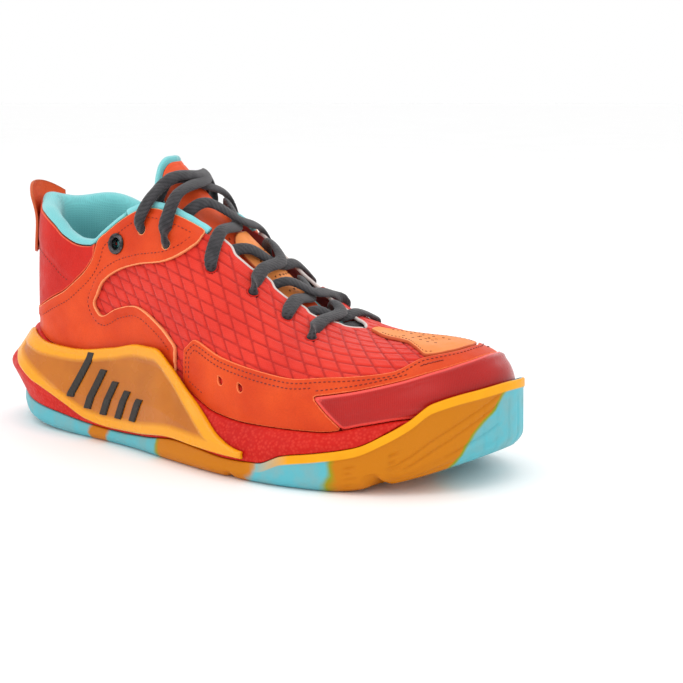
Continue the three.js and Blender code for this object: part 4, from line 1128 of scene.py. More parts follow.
def make_outsole():
    def floor(u, x):
        return ground(x)

    rings = [ring(floor, share=0), ring(floor, share=0.5), ring(floor, offset=-6),
             ring(floor, offset=lambda u: outsole_flare(u) - 3),
             ring(lambda u, x: np.minimum(ground(x) + 3.5, outsole_top(u) - 1),
                  offset=lambda u: outsole_flare(u) + 0.5),
             ring(lambda u, x: outsole_top(u), offset=outsole_flare),
             ring(lambda u, x: outsole_top(u), offset=wrap_inside),
             ring(wrap_floor, offset=wrap_foot),
             ring(lambda u, x: ground(x) + OUTSOLE, share=0.5),
             ring(lambda u, x: ground(x) + OUTSOLE, share=0)]
    rows = sole_rings(rings, [0, 2, 2, 2.5, 2.5, 0.8, 0.6, 1, 2, 0], OUTSOLE_COUNTS)
    outward = np.concatenate([outline(SOLE_U, 1.0) - outline(SOLE_U, 0.0), np.zeros((len(SOLE_U), 1))], 1)
    u = SOLE_U[None]
    x, y, z = rows[..., 0], rows[..., 1], rows[..., 2]  # views, so they follow what is done to the rows
    under = np.arange(len(rows))[:, None] < UNDER_ROWS
    outer = np.arange(len(rows))[:, None] < OUTER_ROWS
    top, low = outsole_top(u), ground(x)
    tall = np.maximum(top - low, 1)
    q = (z - low) / tall
    # herringbone tread, with rings round the pivot
    zigzag = 4 * np.abs(np.mod(y / 11, 1) - 0.5) * 2
    from_rim = np.linalg.norm(rows[..., :2] - rings[4][None, :, :2], axis=2)
    pivot = np.hypot(x - PIVOT[0], y - PIVOT[1])
    tread = np.where(pivot < PIVOT_RADIUS, grooves(pivot, 7), grooves(x + zigzag * 1.4, 7.5))
    rows[..., 2] += 1.5 * (tread * smooth((from_rim - 5) / 2) * (z < low + 0.6)) * under
    # fine curved grooves on the side of the forefoot, and short lug marks behind them
    relief = np.zeros_like(z)
    run = (u - 7.9) / 2.0
    for start, rise, power in SIDE_CURVES:
        gap = (q - (start + rise * np.clip(run, 0, 1.3) ** power)) * tall
        relief -= 0.75 * np.exp(-(gap / 0.6) ** 2) * smooth((u - 7.95) / 0.1) * smooth((9.9 - u) / 0.3)
    for at, length in LUG_MARKS:
        gap = (q - at) * tall
        for first in LUG_STATIONS:
            relief -= (0.9 * np.exp(-(gap / 0.9) ** 2) * smooth((u - first) / 0.03)
                       * smooth((first + length - u) / 0.08))
    # toe ribs
    ribs = grooves(s_of(u) - TOE_S, 6.5, 0.8, 0.15)
    relief -= 0.5 * ribs * np.exp(-((u - 10) / 1.0) ** 2) * smooth((0.8 - q) / 0.1)
    # the wall under the lip stands back
    relief -= 0.55 * smooth((top - z - 4.0) / 0.8) * smooth((top - low - 14) / 6)
    rows += outward[None] * (relief * (outer & ~under))[..., None]
    for at, slant, width, height, fade, depth in FLEX_NOTCHES:
        notch = np.exp(-((x - at - slant * y) / width) ** 2) * smooth((height - (z - low)) / fade)
        rows[..., 2] += depth * notch * outer
    edge = np.where(outer, np.maximum(top - z, 0), INNER_EDGE)
    return sole_piece("outsole", rows, rubber, edge, replaces=["outsole_rear", "outsole_fore"],
                      slot="rubber_marbled")


def make_midsole():
    def floor(u, x):
        return ground(x) + OUTSOLE + CLEARANCE

    rings = [ring(floor, share=0), ring(floor, share=0.5),
             ring(lambda u, x: wrap_floor(u, x) + CLEARANCE, offset=lambda u: wrap_foot(u) - CLEARANCE),
             ring(lambda u, x: foam_shoulder(u), offset=lambda u: inside_wrap(u, foam_shoulder(u))),
             ring(lambda u, x: foam_shoulder(u) + CLEARANCE, offset=foam_step),
             ring(lambda u, x: foam_middle(u), offset=foam_bulge),
             ring(lambda u, x: midsole_top(u), offset=foam_lip),
             ring(lambda u, x: midsole_top(u), offset=0.8),
             ring(lambda u, x: footbed(x) - 0.8, offset=0.8),
             ring(lambda u, x: footbed(x) - 0.8, share=0.5), ring(lambda u, x: footbed(x) - 0.8, share=0)]
    rows = sole_rings(rings, [0, 1, 1, 0.5, 0.8, 3.5, 1.2, 0.6, 1, 1, 0], [4, 4, 4, 2, 14, 14, 3, 6, 4, 4])
    return sole_piece("midsole", rows, foam_red, np.full(rows.shape[:2], INNER_EDGE),
                      replaces=["midsole_rear", "midsole_fore"], slot="foam_red")


COUNTER, LINING = 1.3, 1.6
INSIDE_LINING = INSIDE_BASE + COUNTER + 2 * CLEARANCE + LINING + CLEARANCE
sock_edge = curve([[0.5, -INSIDE_LINING], [3.4, -INSIDE_LINING], [4.2, -INSIDE_BASE - CLEARANCE],
                   [10, -INSIDE_BASE - CLEARANCE], [15.8, -INSIDE_BASE - CLEARANCE], [16.6, -INSIDE_LINING],
                   [19.5, -INSIDE_LINING]])


def make_footbed(name, low, high, edge, rim, material, nodes, slot):
    rings = [ring(lambda u, x: footbed(x) + low, share=0), ring(lambda u, x: footbed(x) + low, share=0.5),
             ring(lambda u, x: footbed(x) + low + rim, offset=edge),
             ring(lambda u, x: footbed(x) + high + rim, offset=edge),
             ring(lambda u, x: footbed(x) + high, share=0.5), ring(lambda u, x: footbed(x) + high, share=0)]
    rows = sole_rings(rings, [0, 1, 1, 1.2, 8, 0], [3, 4, 3, 12, 8])
    return sole_piece(name, rows, material, np.full(rows.shape[:2], INNER_EDGE), replaces=nodes, slot=slot)


make_outsole()
make_midsole()
board_white = cloth("board_white", (226, 218, 204), (206, 196, 182), period=1.4, depth=0.1)
make_footbed("strobel_board", 0, 1.6, lambda u: np.full(np.shape(u), -INSIDE_BASE), 0, board_white,
             ["strobel_board_rear", "strobel_board_fore"], "board_white")
make_footbed("sockliner", SOCK_LOW, SOCK_LOW + SOCK, sock_edge, 1, sock_cloth,
                       ["sockliner_rear", "sockliner_fore"], "lining_cyan")


def wall_grid(name, us, low, high, gap, thick, material, rides, nv=20, rim=1.0, relief=None, lean=None,
              **facts):
    """A plate on the sole wall between two heights, with a rounded rim."""
    us = np.asarray(us, float)
    lows, highs = low(us), high(us)
    marks = RIM_MARKS[:-1] * rim
    rows = []
    for lo, hi in zip(lows, highs):
        k = min(1.0, 0.4 * (hi - lo) / marks[-1])
        field = np.linspace(lo + marks[-1] * k, hi - marks[-1] * k, nv + 1)[1:-1]
        rows.append(np.concatenate([lo + marks * k, field, (hi - marks * k)[::-1]]))
    z = np.array(rows)
    u = np.repeat(us[:, None], z.shape[1], 1)
    if lean is not None:
        u = u + lean(z)
    s = s_of(u)
    d = np.minimum(np.minimum(z - z[:, :1], z[:, -1:] - z), np.minimum(s - s[:1], s[-1:] - s))
    lift = gap + thick * rounded(d, rim)
    if relief is not None:
        lift = lift + relief(u, z, d)

    def at(offset):
        return np.concatenate([outline(u, sole_face(u, z) + offset), z[..., None]], -1)

    shell = closed_shell(at(lift), at(np.full(z.shape, gap)), np.stack([s, z], -1), d)
    return shell_piece(name, shell, material, rides, **facts)


CLIP_TOP = [[1.25, 51], [1.7, 49], [2.15, 46.5], [2.7, 46], [3.47, 50], [4, 54], [4.3, 54], [4.6, 47],
            [4.92, 37], [5.3, 27], [5.7, 19], [6.1, 15]]
CLIP_LOW = [[1.25, 38], [1.7, 33], [2.17, 26], [2.64, 18], [3.1, 11], [3.5, 9.5], [4.1, 10.5], [4.8, 13.5],
            [5.3, 12.5], [6.1, 11.5]]
clip_top, clip_low = curve(CLIP_TOP), curve(CLIP_LOW)
CLIP_GAP, CLIP, CLIP_SUNK = 0.8, 2.6, 0.7


def clip_relief(u, z, d):
    """A raised border round a slightly sunken field."""
    return -CLIP_SUNK * smooth((d - 4.6) / 2.2)


wall_grid("clip_lateral", end_stations(1.25, 6.1, 0.03), clip_low, clip_top, CLIP_GAP, CLIP, amber,
          "rearfoot", nv=56, rim=1.3, relief=clip_relief, replaces=["clip_lateral"], slot="tpu_amber")
wall_grid("clip_medial", end_stations(MIRROR - 5.7, MIRROR - 1.7, 0.03), curve(opposite(CLIP_LOW)),
          curve(opposite(CLIP_TOP, -4)), CLIP_GAP, CLIP, amber, "rearfoot", nv=50, rim=1.3,
          relief=clip_relief,
          replaces=["clip_medial"], slot="tpu_amber")
for bar in range(5):
    first = 2.75 + bar * 0.3
    foot = float(clip_low(first)) + 6
    tall = 24 - bar * 3
    wall_grid(f"clip_bar_{bar + 1}", np.linspace(first, first + 0.13, 15),
              lambda u, f=foot: np.full(len(u), f), lambda u, f=foot + tall: np.full(len(u), f),
              CLIP_GAP + CLIP - CLIP_SUNK - 0.05, 0.95, graphic, "rearfoot", nv=26, rim=0.5,
              lean=lambda z, f=foot: (z - f) * 0.012, replaces=[f"clip_bar_{bar + 1}"], slot="graphic_black")


# ------------------------------------------------------------------ the upper's base
def base_foot(u):
    return height_to_v(u, footbed(station(u)[..., 0]) + 0.1)


HOLES = [(side, HOLE_STATIONS[i], HOLE_V[i]) for i in range(6) for side in (1, -1)]


def scalloped(u):
    """The throat's edge, with a small scallop round each lace hole of the base."""
    side = np.minimum(np.mod(u, TURN), MIRROR - np.mod(u, TURN))
    v = upper_edge(u)
    for at in HOLE_STATIONS[:4]:
        v = v + 0.026 * np.exp(-((side - at + 0.05) / 0.13) ** 4)
    return np.minimum(v, 0.9995)


HOLE_RADIUS = 2.6
TOE_SPAN = 3.15  # stations from the toe over which the base closes along the ridge
DIAMONDS = ((0.2, 5.6, 5.5), (1.3, 11.0, 6.7))  # slope, period along the height, distance across, mm


def make_base():
    """The woven base in one piece, all the way round, with its diamond relief and lace holes."""
    fine, coarse = 0.0165, 0.07
    n = int(7.1 / fine)
    half = np.concatenate([np.arange(n) * fine, np.arange(n * fine, 9.5, coarse)])
    us = np.concatenate([10 - half[:0:-1], 10 + half])
    us = us[(us > 0.5 + 1e-6)]
    top = np.where(np.abs(us - 10) < TOE_SPAN, 1.0, scalloped(us))
    foot = base_foot(us)
    t = np.linspace(0, 1, 118)
    v = foot[:, None] + (top - foot)[:, None] * t[None]
    u = np.repeat(us[:, None], len(t), 1)
    length = total(u)
    across = np.where(u < 10, TOE_S - s_of(u), s_of(u) - TOE_S)
    height = v * length
    nearest = np.minimum(*[np.abs(np.mod((height - slope * across) / period, 1) - 0.5) * apart
                           for slope, period, apart in DIAMONDS])
    d_top = (top[:, None] - v) * length
    front = np.abs(u - 10) < TOE_SPAN
    fade = np.where(front, 1.0, smooth((d_top - 2.2) / 1.2)) * smooth((np.minimum(u, MIRROR - u) - 2.9) / 0.2)
    relief = (-0.6 * np.exp(-(nearest / 0.5) ** 2) + 0.22 * np.exp(-((nearest - 1.15) / 0.45) ** 2)) * fade
    rim = np.where(front, 1.0, rounded(np.maximum(d_top, 0), 0.6, 0.4))
    outer = lifted(u, v, relief + BASE * (rim - 1))
    inner = lifted(u, v, -BASE)
    chart = np.stack([s_of(u), height], -1)
    points, faces, uv, _ = closed_shell(outer, inner, chart, d_top, wrap=True)
    rows, columns = u.shape
    # the distance to the nearest groove, which the material turns into painted shade in the grooves
    groove_shade_distance = np.where(fade > 0.5, nearest, 2.0)
    edge = np.concatenate([groove_shade_distance.ravel(), np.full(groove_shade_distance.size, 2.0)])
    centre = points[: u.size].reshape(rows, columns, 3)
    # the lace holes go through
    bad = np.zeros(u.shape, bool)
    for side, hu, hv in HOLES + [(1, EYELET_STATION, EYELET_V), (-1, EYELET_STATION, EYELET_V)]:
        bad |= np.linalg.norm(centre - surface(on_side(hu, side), hv), axis=2) < HOLE_RADIUS
    quad_bad = np.tile(bad.ravel(), 2)[faces].any(1)
    kept = faces[~quad_bad]
    dropped = {tuple(f) for f in faces[quad_bad] if f.max() < u.size}
    cut = {(a, b): 1 for f in dropped for a, b in zip(f, f[1:] + f[:1])}
    walls = [(a, b, b + u.size, a + u.size) for a, b in cut if (b, a) not in cut]
    front_rim = np.abs(us - 10) < TOE_SPAN - 1e-9
    rim_index = {i * columns + columns - 1 for i in range(rows) if front_rim[i]}
    keep = [f for f in kept if not (len({int(x) % u.size for x in f}) == 2
                                    and all((int(x) % u.size) in rim_index for x in f))]
    faces = [tuple(int(x) for x in f) for f in keep] + walls
    return mesh_piece("upper_base", points, faces, mesh_red, "bend", uv=uv, edge=edge, weld=0.01, slot="mesh_red",
                      replaces=["mesh_lateral", "mesh_medial", "mesh_toe", "vamp_flex", "heel_base"])


make_base()


# ------------------------------------------------------------------ quarters, mudguard, rand, toe
def above_midsole(u):
    return height_to_v(u, midsole_top(u) + CLEARANCE + 0.1)


_grid_u = np.linspace(0.0, 20.0, 801)
_grid_foot = above_midsole(_grid_u)


def above_midsole_fast(u):
    return np.interp(u, _grid_u, _grid_foot)


QUARTER_REAR = [[0.64, 0.13], [1.52, 0.16], [2.37, 0.25], [2.66, 0.31], [2.98, 0.41], [3.06, 0.5],
                [3.12, 0.9]]
APERTURE_LOW = [[3.03, 0.245], [3.15, 0.22], [3.47, 0.27], [3.88, 0.31], [4.32, 0.28], [4.8, 0.21]]
APERTURE_HIGH = [[3.03, 0.27], [3.17, 0.34], [3.47, 0.41], [3.81, 0.465], [4.22, 0.53], [4.45, 0.6],
                 [4.6, 0.69], [4.68, 0.8], [4.8, 0.9]]
QUARTER_END, APERTURE_BACK = 4.6, 3.03


def line_uv(u, v):
    u, v = both(u, v)
    return np.stack([u, v], -1)


def mirrored(loop_uv, side):
    """The same line on the medial side when side is -1."""
    out = loop_uv.copy()
    if side < 0:
        out[:, 0] = MIRROR - out[:, 0]
    return out


def relaxed(loop, passes=3):
    for _ in range(passes):
        loop = (np.roll(loop, 1, 0) + 2 * loop + np.roll(loop, -1, 0)) / 4
    return loop


def chart_loop(loop_uv):
    return relaxed(resample(to_chart(loop_uv[:, 0], loop_uv[:, 1]), 1.0))


def round_hole(u, v, radius):
    a = np.linspace(0, 2 * np.pi, 25)[:-1]
    return to_chart(u, v) + radius * np.stack([np.cos(a), np.sin(a)], -1)


quarter_rear = curve(QUARTER_REAR)
aperture_low, aperture_high = curve(APERTURE_LOW), curve(APERTURE_HIGH)
stitch_dark = {"rearfoot": Bag(), "bend": Bag()}


def quarter_top(u):
    return np.minimum(quarter_rear(u), lateral_edge(u) - 0.001)


def seam(bag, u, v, lift, step=0.5, **look):
    points, normals = path_mm(u, v, lift, step)
    stitches(bag, points, normals, **look)


def folded_edge(u, v, d):
    """A band turned over along the edge, standing a little proud."""
    return 0.55 * smooth((4.4 - d) / 0.7) - 0.12 * np.exp(-((d - 4.6) / 0.5) ** 2)


def inset_loop(loop, d):
    """A loop moved inward by d, as points where it stays that far from the edge."""
    tangent = unit(np.roll(loop, -1, 0) - np.roll(loop, 1, 0))
    across = np.stack([-tangent[:, 1], tangent[:, 0]], -1)
    area = 0.5 * np.sum(loop[:, 0] * np.roll(loop[:, 1], -1) - np.roll(loop[:, 0], -1) * loop[:, 1])
    moved = loop + across * d * (1 if area > 0 else -1)
    good = distance_to(moved, [loop]) > 0.93 * d
    return moved, good


def loop_stitches(bag, loop, d, lift, keep, **look):
    moved, good = inset_loop(loop, d)
    u = u_of(moved[:, 0])
    v = moved[:, 1] / total(u)
    good &= keep(u, v)
    runs, current = [], []
    for i in range(len(moved)):
        if good[i]:
            current.append(i)
        elif current:
            runs.append(current)
            current = []
    if current:
        runs.append(current)
    for run in runs:
        if len(run) > 6:
            h = lift(u[run], v[run]) if callable(lift) else lift
            seam(bag, u[run], v[run], h, **look)


def make_quarter(side):
    """The quarter as one line round its long window, with two lace holes and the eyelet's."""
    us = np.linspace(0.64, QUARTER_END, 200)
    back = np.linspace(QUARTER_END, APERTURE_BACK, 80)
    forth = np.linspace(APERTURE_BACK, QUARTER_END, 90)
    foot, sill = float(above_midsole(QUARTER_END)), float(aperture_low(QUARTER_END))
    outer = np.concatenate([
        line_uv(us, above_midsole(us)),
        line_uv(QUARTER_END, np.linspace(foot, sill, 20))[1:],
        line_uv(back, aperture_low(back))[1:],
        line_uv(forth, aperture_high(forth)),
        line_uv(QUARTER_END, np.linspace(0.69, float(quarter_top(QUARTER_END)), 8))[1:-1],
        line_uv(us[::-1], quarter_top(us[::-1]))])
    loop = chart_loop(mirrored(outer, side))
    holes = [round_hole(on_side(u, side), v, radius) for u, v, radius in (
        (HOLE_STATIONS[4], HOLE_V[4], 2.3), (HOLE_STATIONS[5], HOLE_V[5], 2.3),
        (EYELET_STATION, EYELET_V, 3.7))]

    def relief(u, v, d):
        near = np.minimum(u, MIRROR - u)
        band = distance_to(to_chart(u, v), [loop])
        low = above_midsole_fast(u)
        off = smooth((v - low - 0.035) / 0.02) * smooth((quarter_top(near) - v) / 0.001 + 2)
        top_edge = (smooth((near - 3.14) / 0.05) * smooth((v - 0.5) / 0.02)
                    * smooth((0.03 - (lateral_edge(near) - v)) / 0.01))
        return folded_edge(u, v, band) * off * (1 - top_edge)

    name = "quarter_lateral" if side > 0 else "quarter_medial"
    patch(name, [loop] + holes, CLEARANCE, OVER_BASE, orange_leather, "rearfoot", relief=relief, rim=0.45,
          replaces=[name], slot="leather_orange")

    def keep(u, v):
        return v > above_midsole_fast(u) + 0.06

    loop_stitches(stitch_dark["rearfoot"], loop, 4.9, OVER_BASE - 0.02, keep, pitch=2.3, size=1.5,
                  radius=0.26)


MUDGUARD_TOP = [[4.76, 0.25], [4.95, 0.31], [5.48, 0.29], [6.02, 0.29], [6.55, 0.29], [7.11, 0.33],
                [7.45, 0.35], [8.01, 0.4], [8.52, 0.555], [9.2, 0.62], [10, 0.65]]
RAND_TOP = [[6.8, 0.2], [7.4, 0.24], [8.06, 0.315], [8.72, 0.41], [9.3, 0.465], [10, 0.49]]
TOE_OVERLAY = [[6.95, 0.95], [7.4, 0.88], [7.94, 0.83], [8.3, 0.71], [8.55, 0.59], [9.2, 0.64], [10, 0.67]]


def both_sides(points):
    return curve(points + opposite(points)[1:])


mudguard_top, rand_top, overlay_low = map(both_sides, (MUDGUARD_TOP, RAND_TOP, TOE_OVERLAY))
RAND_CORNER, RAND_FOOT = 7.0, 7.42
MUDGUARD_BACK, MUDGUARD_BACK_TOP = MUDGUARD_TOP[0]
RAND_GAP, RAND = CLEARANCE + 0.2, 2.2


def teardrop(u, v, size):
    """A drop-shaped vent, leaning back."""
    a = np.linspace(0, 2 * np.pi, 19)[:-1]
    x = -size * np.cos(a)
    y = size * 0.62 * np.sin(a) * (1 - 0.55 * np.cos(a + 0.2))
    c, s = np.cos(-0.9), np.sin(-0.9)
    return to_chart(u, v) + np.stack([x * c - y * s, x * s + y * c], -1)


def rand_back(margin):
    """The slanted rear end of the rand, from its foot to its top corner."""
    t = np.linspace(0, 1, 16)[1:-1]
    u = lerp(RAND_FOOT, RAND_CORNER, t) - margin
    low, high = float(above_midsole_fast(RAND_FOOT)), float(rand_top(RAND_CORNER))
    return line_uv(u, lerp(low, high, t))


def make_mudguard():
    left = np.linspace(MUDGUARD_BACK, RAND_FOOT - 0.02, 80)
    top = np.linspace(RAND_CORNER - 0.02, MIRROR - RAND_CORNER + 0.02, 260)
    ends = np.linspace(0, 1, 12)[1:-1]
    back_line = rand_back(0.02)
    foot_end = float(above_midsole_fast(MUDGUARD_BACK))
    over = np.linspace(MIRROR - MUDGUARD_BACK, MUDGUARD_BACK, 400)
    outer = np.concatenate([
        line_uv(left, above_midsole_fast(left)), back_line, line_uv(top, rand_top(top) + 0.008),
        mirrored(back_line, -1)[::-1], line_uv(MIRROR - left[::-1], above_midsole_fast(left[::-1])),
        line_uv(MIRROR - MUDGUARD_BACK, lerp(foot_end, MUDGUARD_BACK_TOP, ends)),
        line_uv(over, mudguard_top(over)),
        line_uv(MUDGUARD_BACK, lerp(MUDGUARD_BACK_TOP, foot_end, ends))])
    loop = chart_loop(outer)
    vents = [teardrop(5.48, 0.18, 2.3), teardrop(5.85, 0.18, 2.3)]
    patch("mudguard", [loop] + vents, CLEARANCE, OVER_BASE, mudguard_leather, "bend", rim=0.45,
          relief=lambda u, v, d: -0.16 * np.exp(-((mudguard_top(u) - v) * total(u) - 3.6) ** 2 / 3.0)
          * smooth((mudguard_top(u) - v) * total(u) / 1.5),
          replaces=["mudguard_lateral", "mudguard_medial", "mudguard_flex_lateral", "mudguard_flex_medial",
                    "mudguard_toe"], slot="leather_orange")

    def keep(u, v):
        return (v > above_midsole_fast(u) + 0.04) & (v > rand_top(u) + 0.03) & (mudguard_top(u) - v < 0.09)

    def sides(u, v):
        near = np.minimum(u, MIRROR - u)
        return ((near < 5.2) & (v > above_midsole_fast(u) + 0.03)) | keep(u, v)

    for d in (2.2, 4.6):
        loop_stitches(stitch_dark["bend"], loop, d, OVER_BASE - 0.03, sides, pitch=2.3, size=1.5, radius=0.27)

    t = np.linspace(RAND_CORNER, MIRROR - RAND_CORNER, 260)
    foot = np.linspace(RAND_FOOT, MIRROR - RAND_FOOT, 300)
    line = rand_back(0.0)
    rand = chart_loop(np.concatenate([line_uv(foot, above_midsole_fast(foot) + 0.002), mirrored(line, -1),
                                      line_uv(t[::-1], rand_top(t[::-1])), line[::-1]]))
    patch("toe_rand", [rand], RAND_GAP, RAND_GAP + RAND, rand_red, "bend", rim=1.3, step=1.5,
          relief=lambda u, v, d: 0.45 * np.exp(-((d - 2.2) / 0.9) ** 2) - 0.25 * smooth((d - 3.2) / 1.0),
          replaces=["toe_rand"], slot="rand_gloss")


def make_overlay():
    """The pale overlay of the toe, with a slightly uneven cut edge."""
    us = 10 + np.linspace(-3, 3, 241)
    low = np.maximum(overlay_low(us), 0.98 - 0.9 * np.sqrt(np.clip(3.0 - np.abs(us - 10), 0, 3)))
    rng = np.random.default_rng(7)
    jag = np.interp(us, 10 + np.linspace(-3, 3, 61), rng.normal(0, 1, 61)) * 0.0022
    low_line = low + jag * (np.abs(us - 10) > 1.6)
    plate("toe_overlay", us, lambda u: np.minimum(np.interp(u, us, low_line), 0.99),
          lambda u: np.ones(len(u)), CLEARANCE, OVER_BASE, pale_leather, "bend", nv=26, rim=0.5, ends=False, join_top=True,
          relief=lambda u, v, d: -0.14 * np.exp(-((d - 2.6) / 0.5) ** 2),
          replaces=["toe_overlay", "toe_overlay_flex"], slot="leather_pale")
    for sign in (-1, 1):
        u = 10 + sign * np.linspace(2.75, 1.2, 90)
        seam(stitch_dark["bend"], u, np.interp(u, us, low_line) + 2.6 / total(u), OVER_BASE - 0.05, pitch=2.2,
             size=1.3, radius=0.2)


make_quarter(1)
make_quarter(-1)
make_mudguard()
make_overlay()


# ------------------------------------------------------------------ small holes and marks
DIMPLE = ((0.0, -0.03), (0.75, 0.02), (1.0, 0.06), (1.15, 0.02), (1.15, -0.3), (0.0, -0.3))  # radius, height


def dimple(bag, u, v, lift, radius=0.7):
    """A punched mark: a low rim round a sunken floor, all coloured with painted shade that stands in for the
    hole.
    """
    centre, n = lifted(u, v, lift), normal(u, v)
    side = unit(np.cross(n, [0.3, 0.2, 0.9]))
    other = np.cross(n, side)
    rings = [centre + radius * max(r, 0.02) * circle(side, other, 10) + n * h for r, h in DIMPLE]
    bag.add(np.concatenate(rings), capped_faces(len(DIMPLE), 10))


marks = Bag()
for u, v in ((7.75, 0.95), (8.05, 0.93), (8.35, 0.9), (8.65, 0.86), (9.0, 0.84), (8.2, 0.985), (8.6, 0.97),
             (9.1, 0.95)):
    for side in (1, -1):
        dimple(marks, on_side(u, side), v, OVER_BASE, 0.6)
marks.piece("toe_perforations", painted_hole_shade, "bend", slot="leather_pale")


def frame_at(u, v):
    """A point of the last, its normal and two directions across it."""
    n = normal(u, v)
    one = unit(np.cross(n, [0.2, 0.3, 0.9]))
    return surface(u, v), n, one, np.cross(n, one)


def hole_rims():
    """A sewn rim round each lace hole of the base."""
    bag = Bag()
    for side, u, v in HOLES[:8]:
        centre, n, one, two = frame_at(on_side(u, side), v)
        line = centre + 2.75 * circle(one, two, 32) + n * 0.1
        grid = [point + 0.4 * circle(unit(point - centre), 0.8 * n, 8) for point in line]
        bag.add(np.concatenate(grid), grid_faces(32, 8, wrap_rows=True, wrap_columns=True))
    bag.piece("hole_rims", red_leather, "rearfoot", slot="leather_red")


hole_rims()


def throat_piping():
    bag = Bag()
    for side in (1, -1):
        u = np.linspace(4.7, 6.82, 160)
        line = path_mm(on_side(u, side), scalloped(u) - 0.001, -0.55, 1.0)
        points, faces, _ = sweep(*line, 0.8, 0.9, sides=8)
        bag.add(points, faces)
    bag.piece("throat_edging", white_edge, "bend", slot="binding_cyan")


throat_piping()


# ------------------------------------------------------------------ heel
rear_medial = curve(opposite(QUARTER_REAR))


def rear_seam(u):
    return np.where(u < 0.5, rear_medial(u + TURN), quarter_rear(u)) + 0.006


plate("heel_cover", end_stations(-2.0, 3.0, 0.03), rear_seam, lambda u: upper_edge(u) - 0.001, CLEARANCE,
      OVER_BASE, red_leather, "rearfoot", nv=60, rim=0.5,
      relief=lambda u, v, d: 0.5 * smooth((v - (upper_edge(u) - 0.14)) / 0.03)
      + 0.25 * np.sin(np.clip((v - upper_edge(u) + 0.14) / 0.14, 0, 1) * np.pi),
      replaces=["heel_cover"], slot="leather_red")
u_line = np.linspace(-1.9, 2.9, 300)
v_line = upper_edge(u_line) - 0.145
keep_line = v_line > rear_seam(u_line) + 0.01
seam(stitch_dark["rearfoot"], u_line[keep_line], v_line[keep_line], OVER_BASE, pitch=2.4, size=1.6,
     radius=0.26)


TAB_HALF = 0.65


def tab_lift(u, v):
    return OVER_BASE + CLEARANCE + 5 * smooth((v - 0.42) / 0.18) ** 2 + 0.6


plate("heel_tab", end_stations(0.5 - TAB_HALF, 0.5 + TAB_HALF, 0.03),
      lambda u: 0.34 + 0.03 * np.abs((u - 0.5) / TAB_HALF) ** 3,
      lambda u: 0.6 - 0.035 * np.abs((u - 0.5) / TAB_HALF) ** 2.5,
      tab_lift, lambda u, v: tab_lift(u, v) + 1.5, tab_leather, "rearfoot", nv=40, rim=0.7,
      relief=lambda u, v, d: -0.2 * np.exp(-((d - 2.2) / 0.5) ** 2),
      replaces=["heel_tab"], slot="leather_orange")


def make_collar():
    """The padded collar and the lining below it, one soft rolled form."""
    us = np.arange(-2.5, 3.5001, 0.035)
    edge = upper_edge(us)
    foot = height_to_v(us, footbed(station(us)[:, 0]) + SOCK_LOW + SOCK + 1.5)
    size = total(us)
    inside_counter = -(INSIDE_BASE + COUNTER + 2 * CLEARANCE)
    end = smooth((us + 2.5) / 0.5) * smooth((3.5 - us) / 0.5)
    fill = 0.55 + 0.45 * end
    profile = [(0.5, 1.25, 0), (1.6, 1.5, 0), (2.9, 0.9, 0), (3.7, -0.9, 0), (3.8, -3.2, 1), (2.6, -5.9, 1),
               (-1.0, -8.2, 1), (-7, -9.3, 1), (-15, -9.2, 1), (-23, -8.0, 1), (-31, -6.6, 1)]
    back_side = [(-31, inside_counter, 0), (-20, -2.4, 0), (-8, -1.9, 0), (-0.5, -1.75, 0), (0.4, -1.5, 0)]
    rows = []
    for i, u in enumerate(us):
        pts = [(edge[i] * size[i] + d, lift * (fill[i] if soft else 1.0)) for d, lift, soft in profile]
        span = pts[-1][0] - foot[i] * size[i]
        for t in (0.3, 0.65, 1.0):
            lift = lerp(profile[-1][1] * fill[i], inside_counter - LINING, smooth(t * 1.6))
            pts.append((pts[len(profile) - 1][0] - span * t, lift))
        tail = [(foot[i] * size[i], inside_counter)] + [
            (max(edge[i] * size[i] + d, foot[i] * size[i] + 2 + k), lift)
            for k, (d, lift, _) in enumerate(back_side)]
        rows.append(np.array(pts + tail))
    rows = np.array(rows)
    # closed smooth profile
    k = rows.shape[1]
    fine = []
    for j in range(k):
        p0, p1, p2, p3 = rows[:, (j - 1) % k], rows[:, j], rows[:, (j + 1) % k], rows[:, (j + 2) % k]
        for t in (0.0, 0.25, 0.5, 0.75):
            fine.append(0.5 * (2 * p1 + (p2 - p0) * t + (2 * p0 - 5 * p1 + 4 * p2 - p3) * t * t
                               + (3 * p1 - p0 - 3 * p2 + p3) * t ** 3))
    fine = np.array(fine).transpose(1, 0, 2)
    u = np.repeat(us[:, None], fine.shape[1], 1)
    v = fine[..., 0] / size[:, None]
    lift = fine[..., 1]
    # soft puckers where the padding turns the corner, strongest low on the inner face
    below = fine[..., 0] - (edge * size)[:, None] + 17
    pucker = np.sin(s_of(u) / 5.2 + 1.3 * np.sin(v * 9)) * np.exp(-(below / 9) ** 2)
    lift = lift + 0.28 * pucker * (lift < -3)
    points = lifted(u, np.minimum(v, 0.985), lift)
    uv = np.stack([s_of(u), fine[..., 0] - lift], -1).reshape(-1, 2)
    mesh_piece("collar", points.reshape(-1, 3), capped_faces(*u.shape), lining_cloth, "rearfoot", uv=uv,
               replaces=["collar_lining", "collar_binding"], slot="lining_cyan", pad=0.8)


make_collar()
stiff = leather("stiffener", (186, 180, 170), (168, 162, 152), grain=0.6)
plate("heel_counter", end_stations(-1.7, 2.7, 0.06),
      lambda u: height_to_v(u, footbed(station(u)[..., 0]) + 7.5), lambda u: np.full(len(u), 0.245),
      -INSIDE_BASE - 1.2, -INSIDE_BASE - 0.1, stiff, "rearfoot", nv=10, rim=0.4,
      replaces=["heel_counter"], slot="stiffener")

# ------------------------------------------------------------------ tongue
TONGUE_TOP, TONGUE_FRONT = 3.56, 6.5
TONGUE_LOW = -(BASE + LACE + 1.7)
tongue_edge = curve([[3.6, 0.66], [4.4, 0.72], [5.5, 0.76], [6.5, 0.8]])
tongue_pad = curve([[3.8, 6], [5.2, 4], [6.5, 2]])


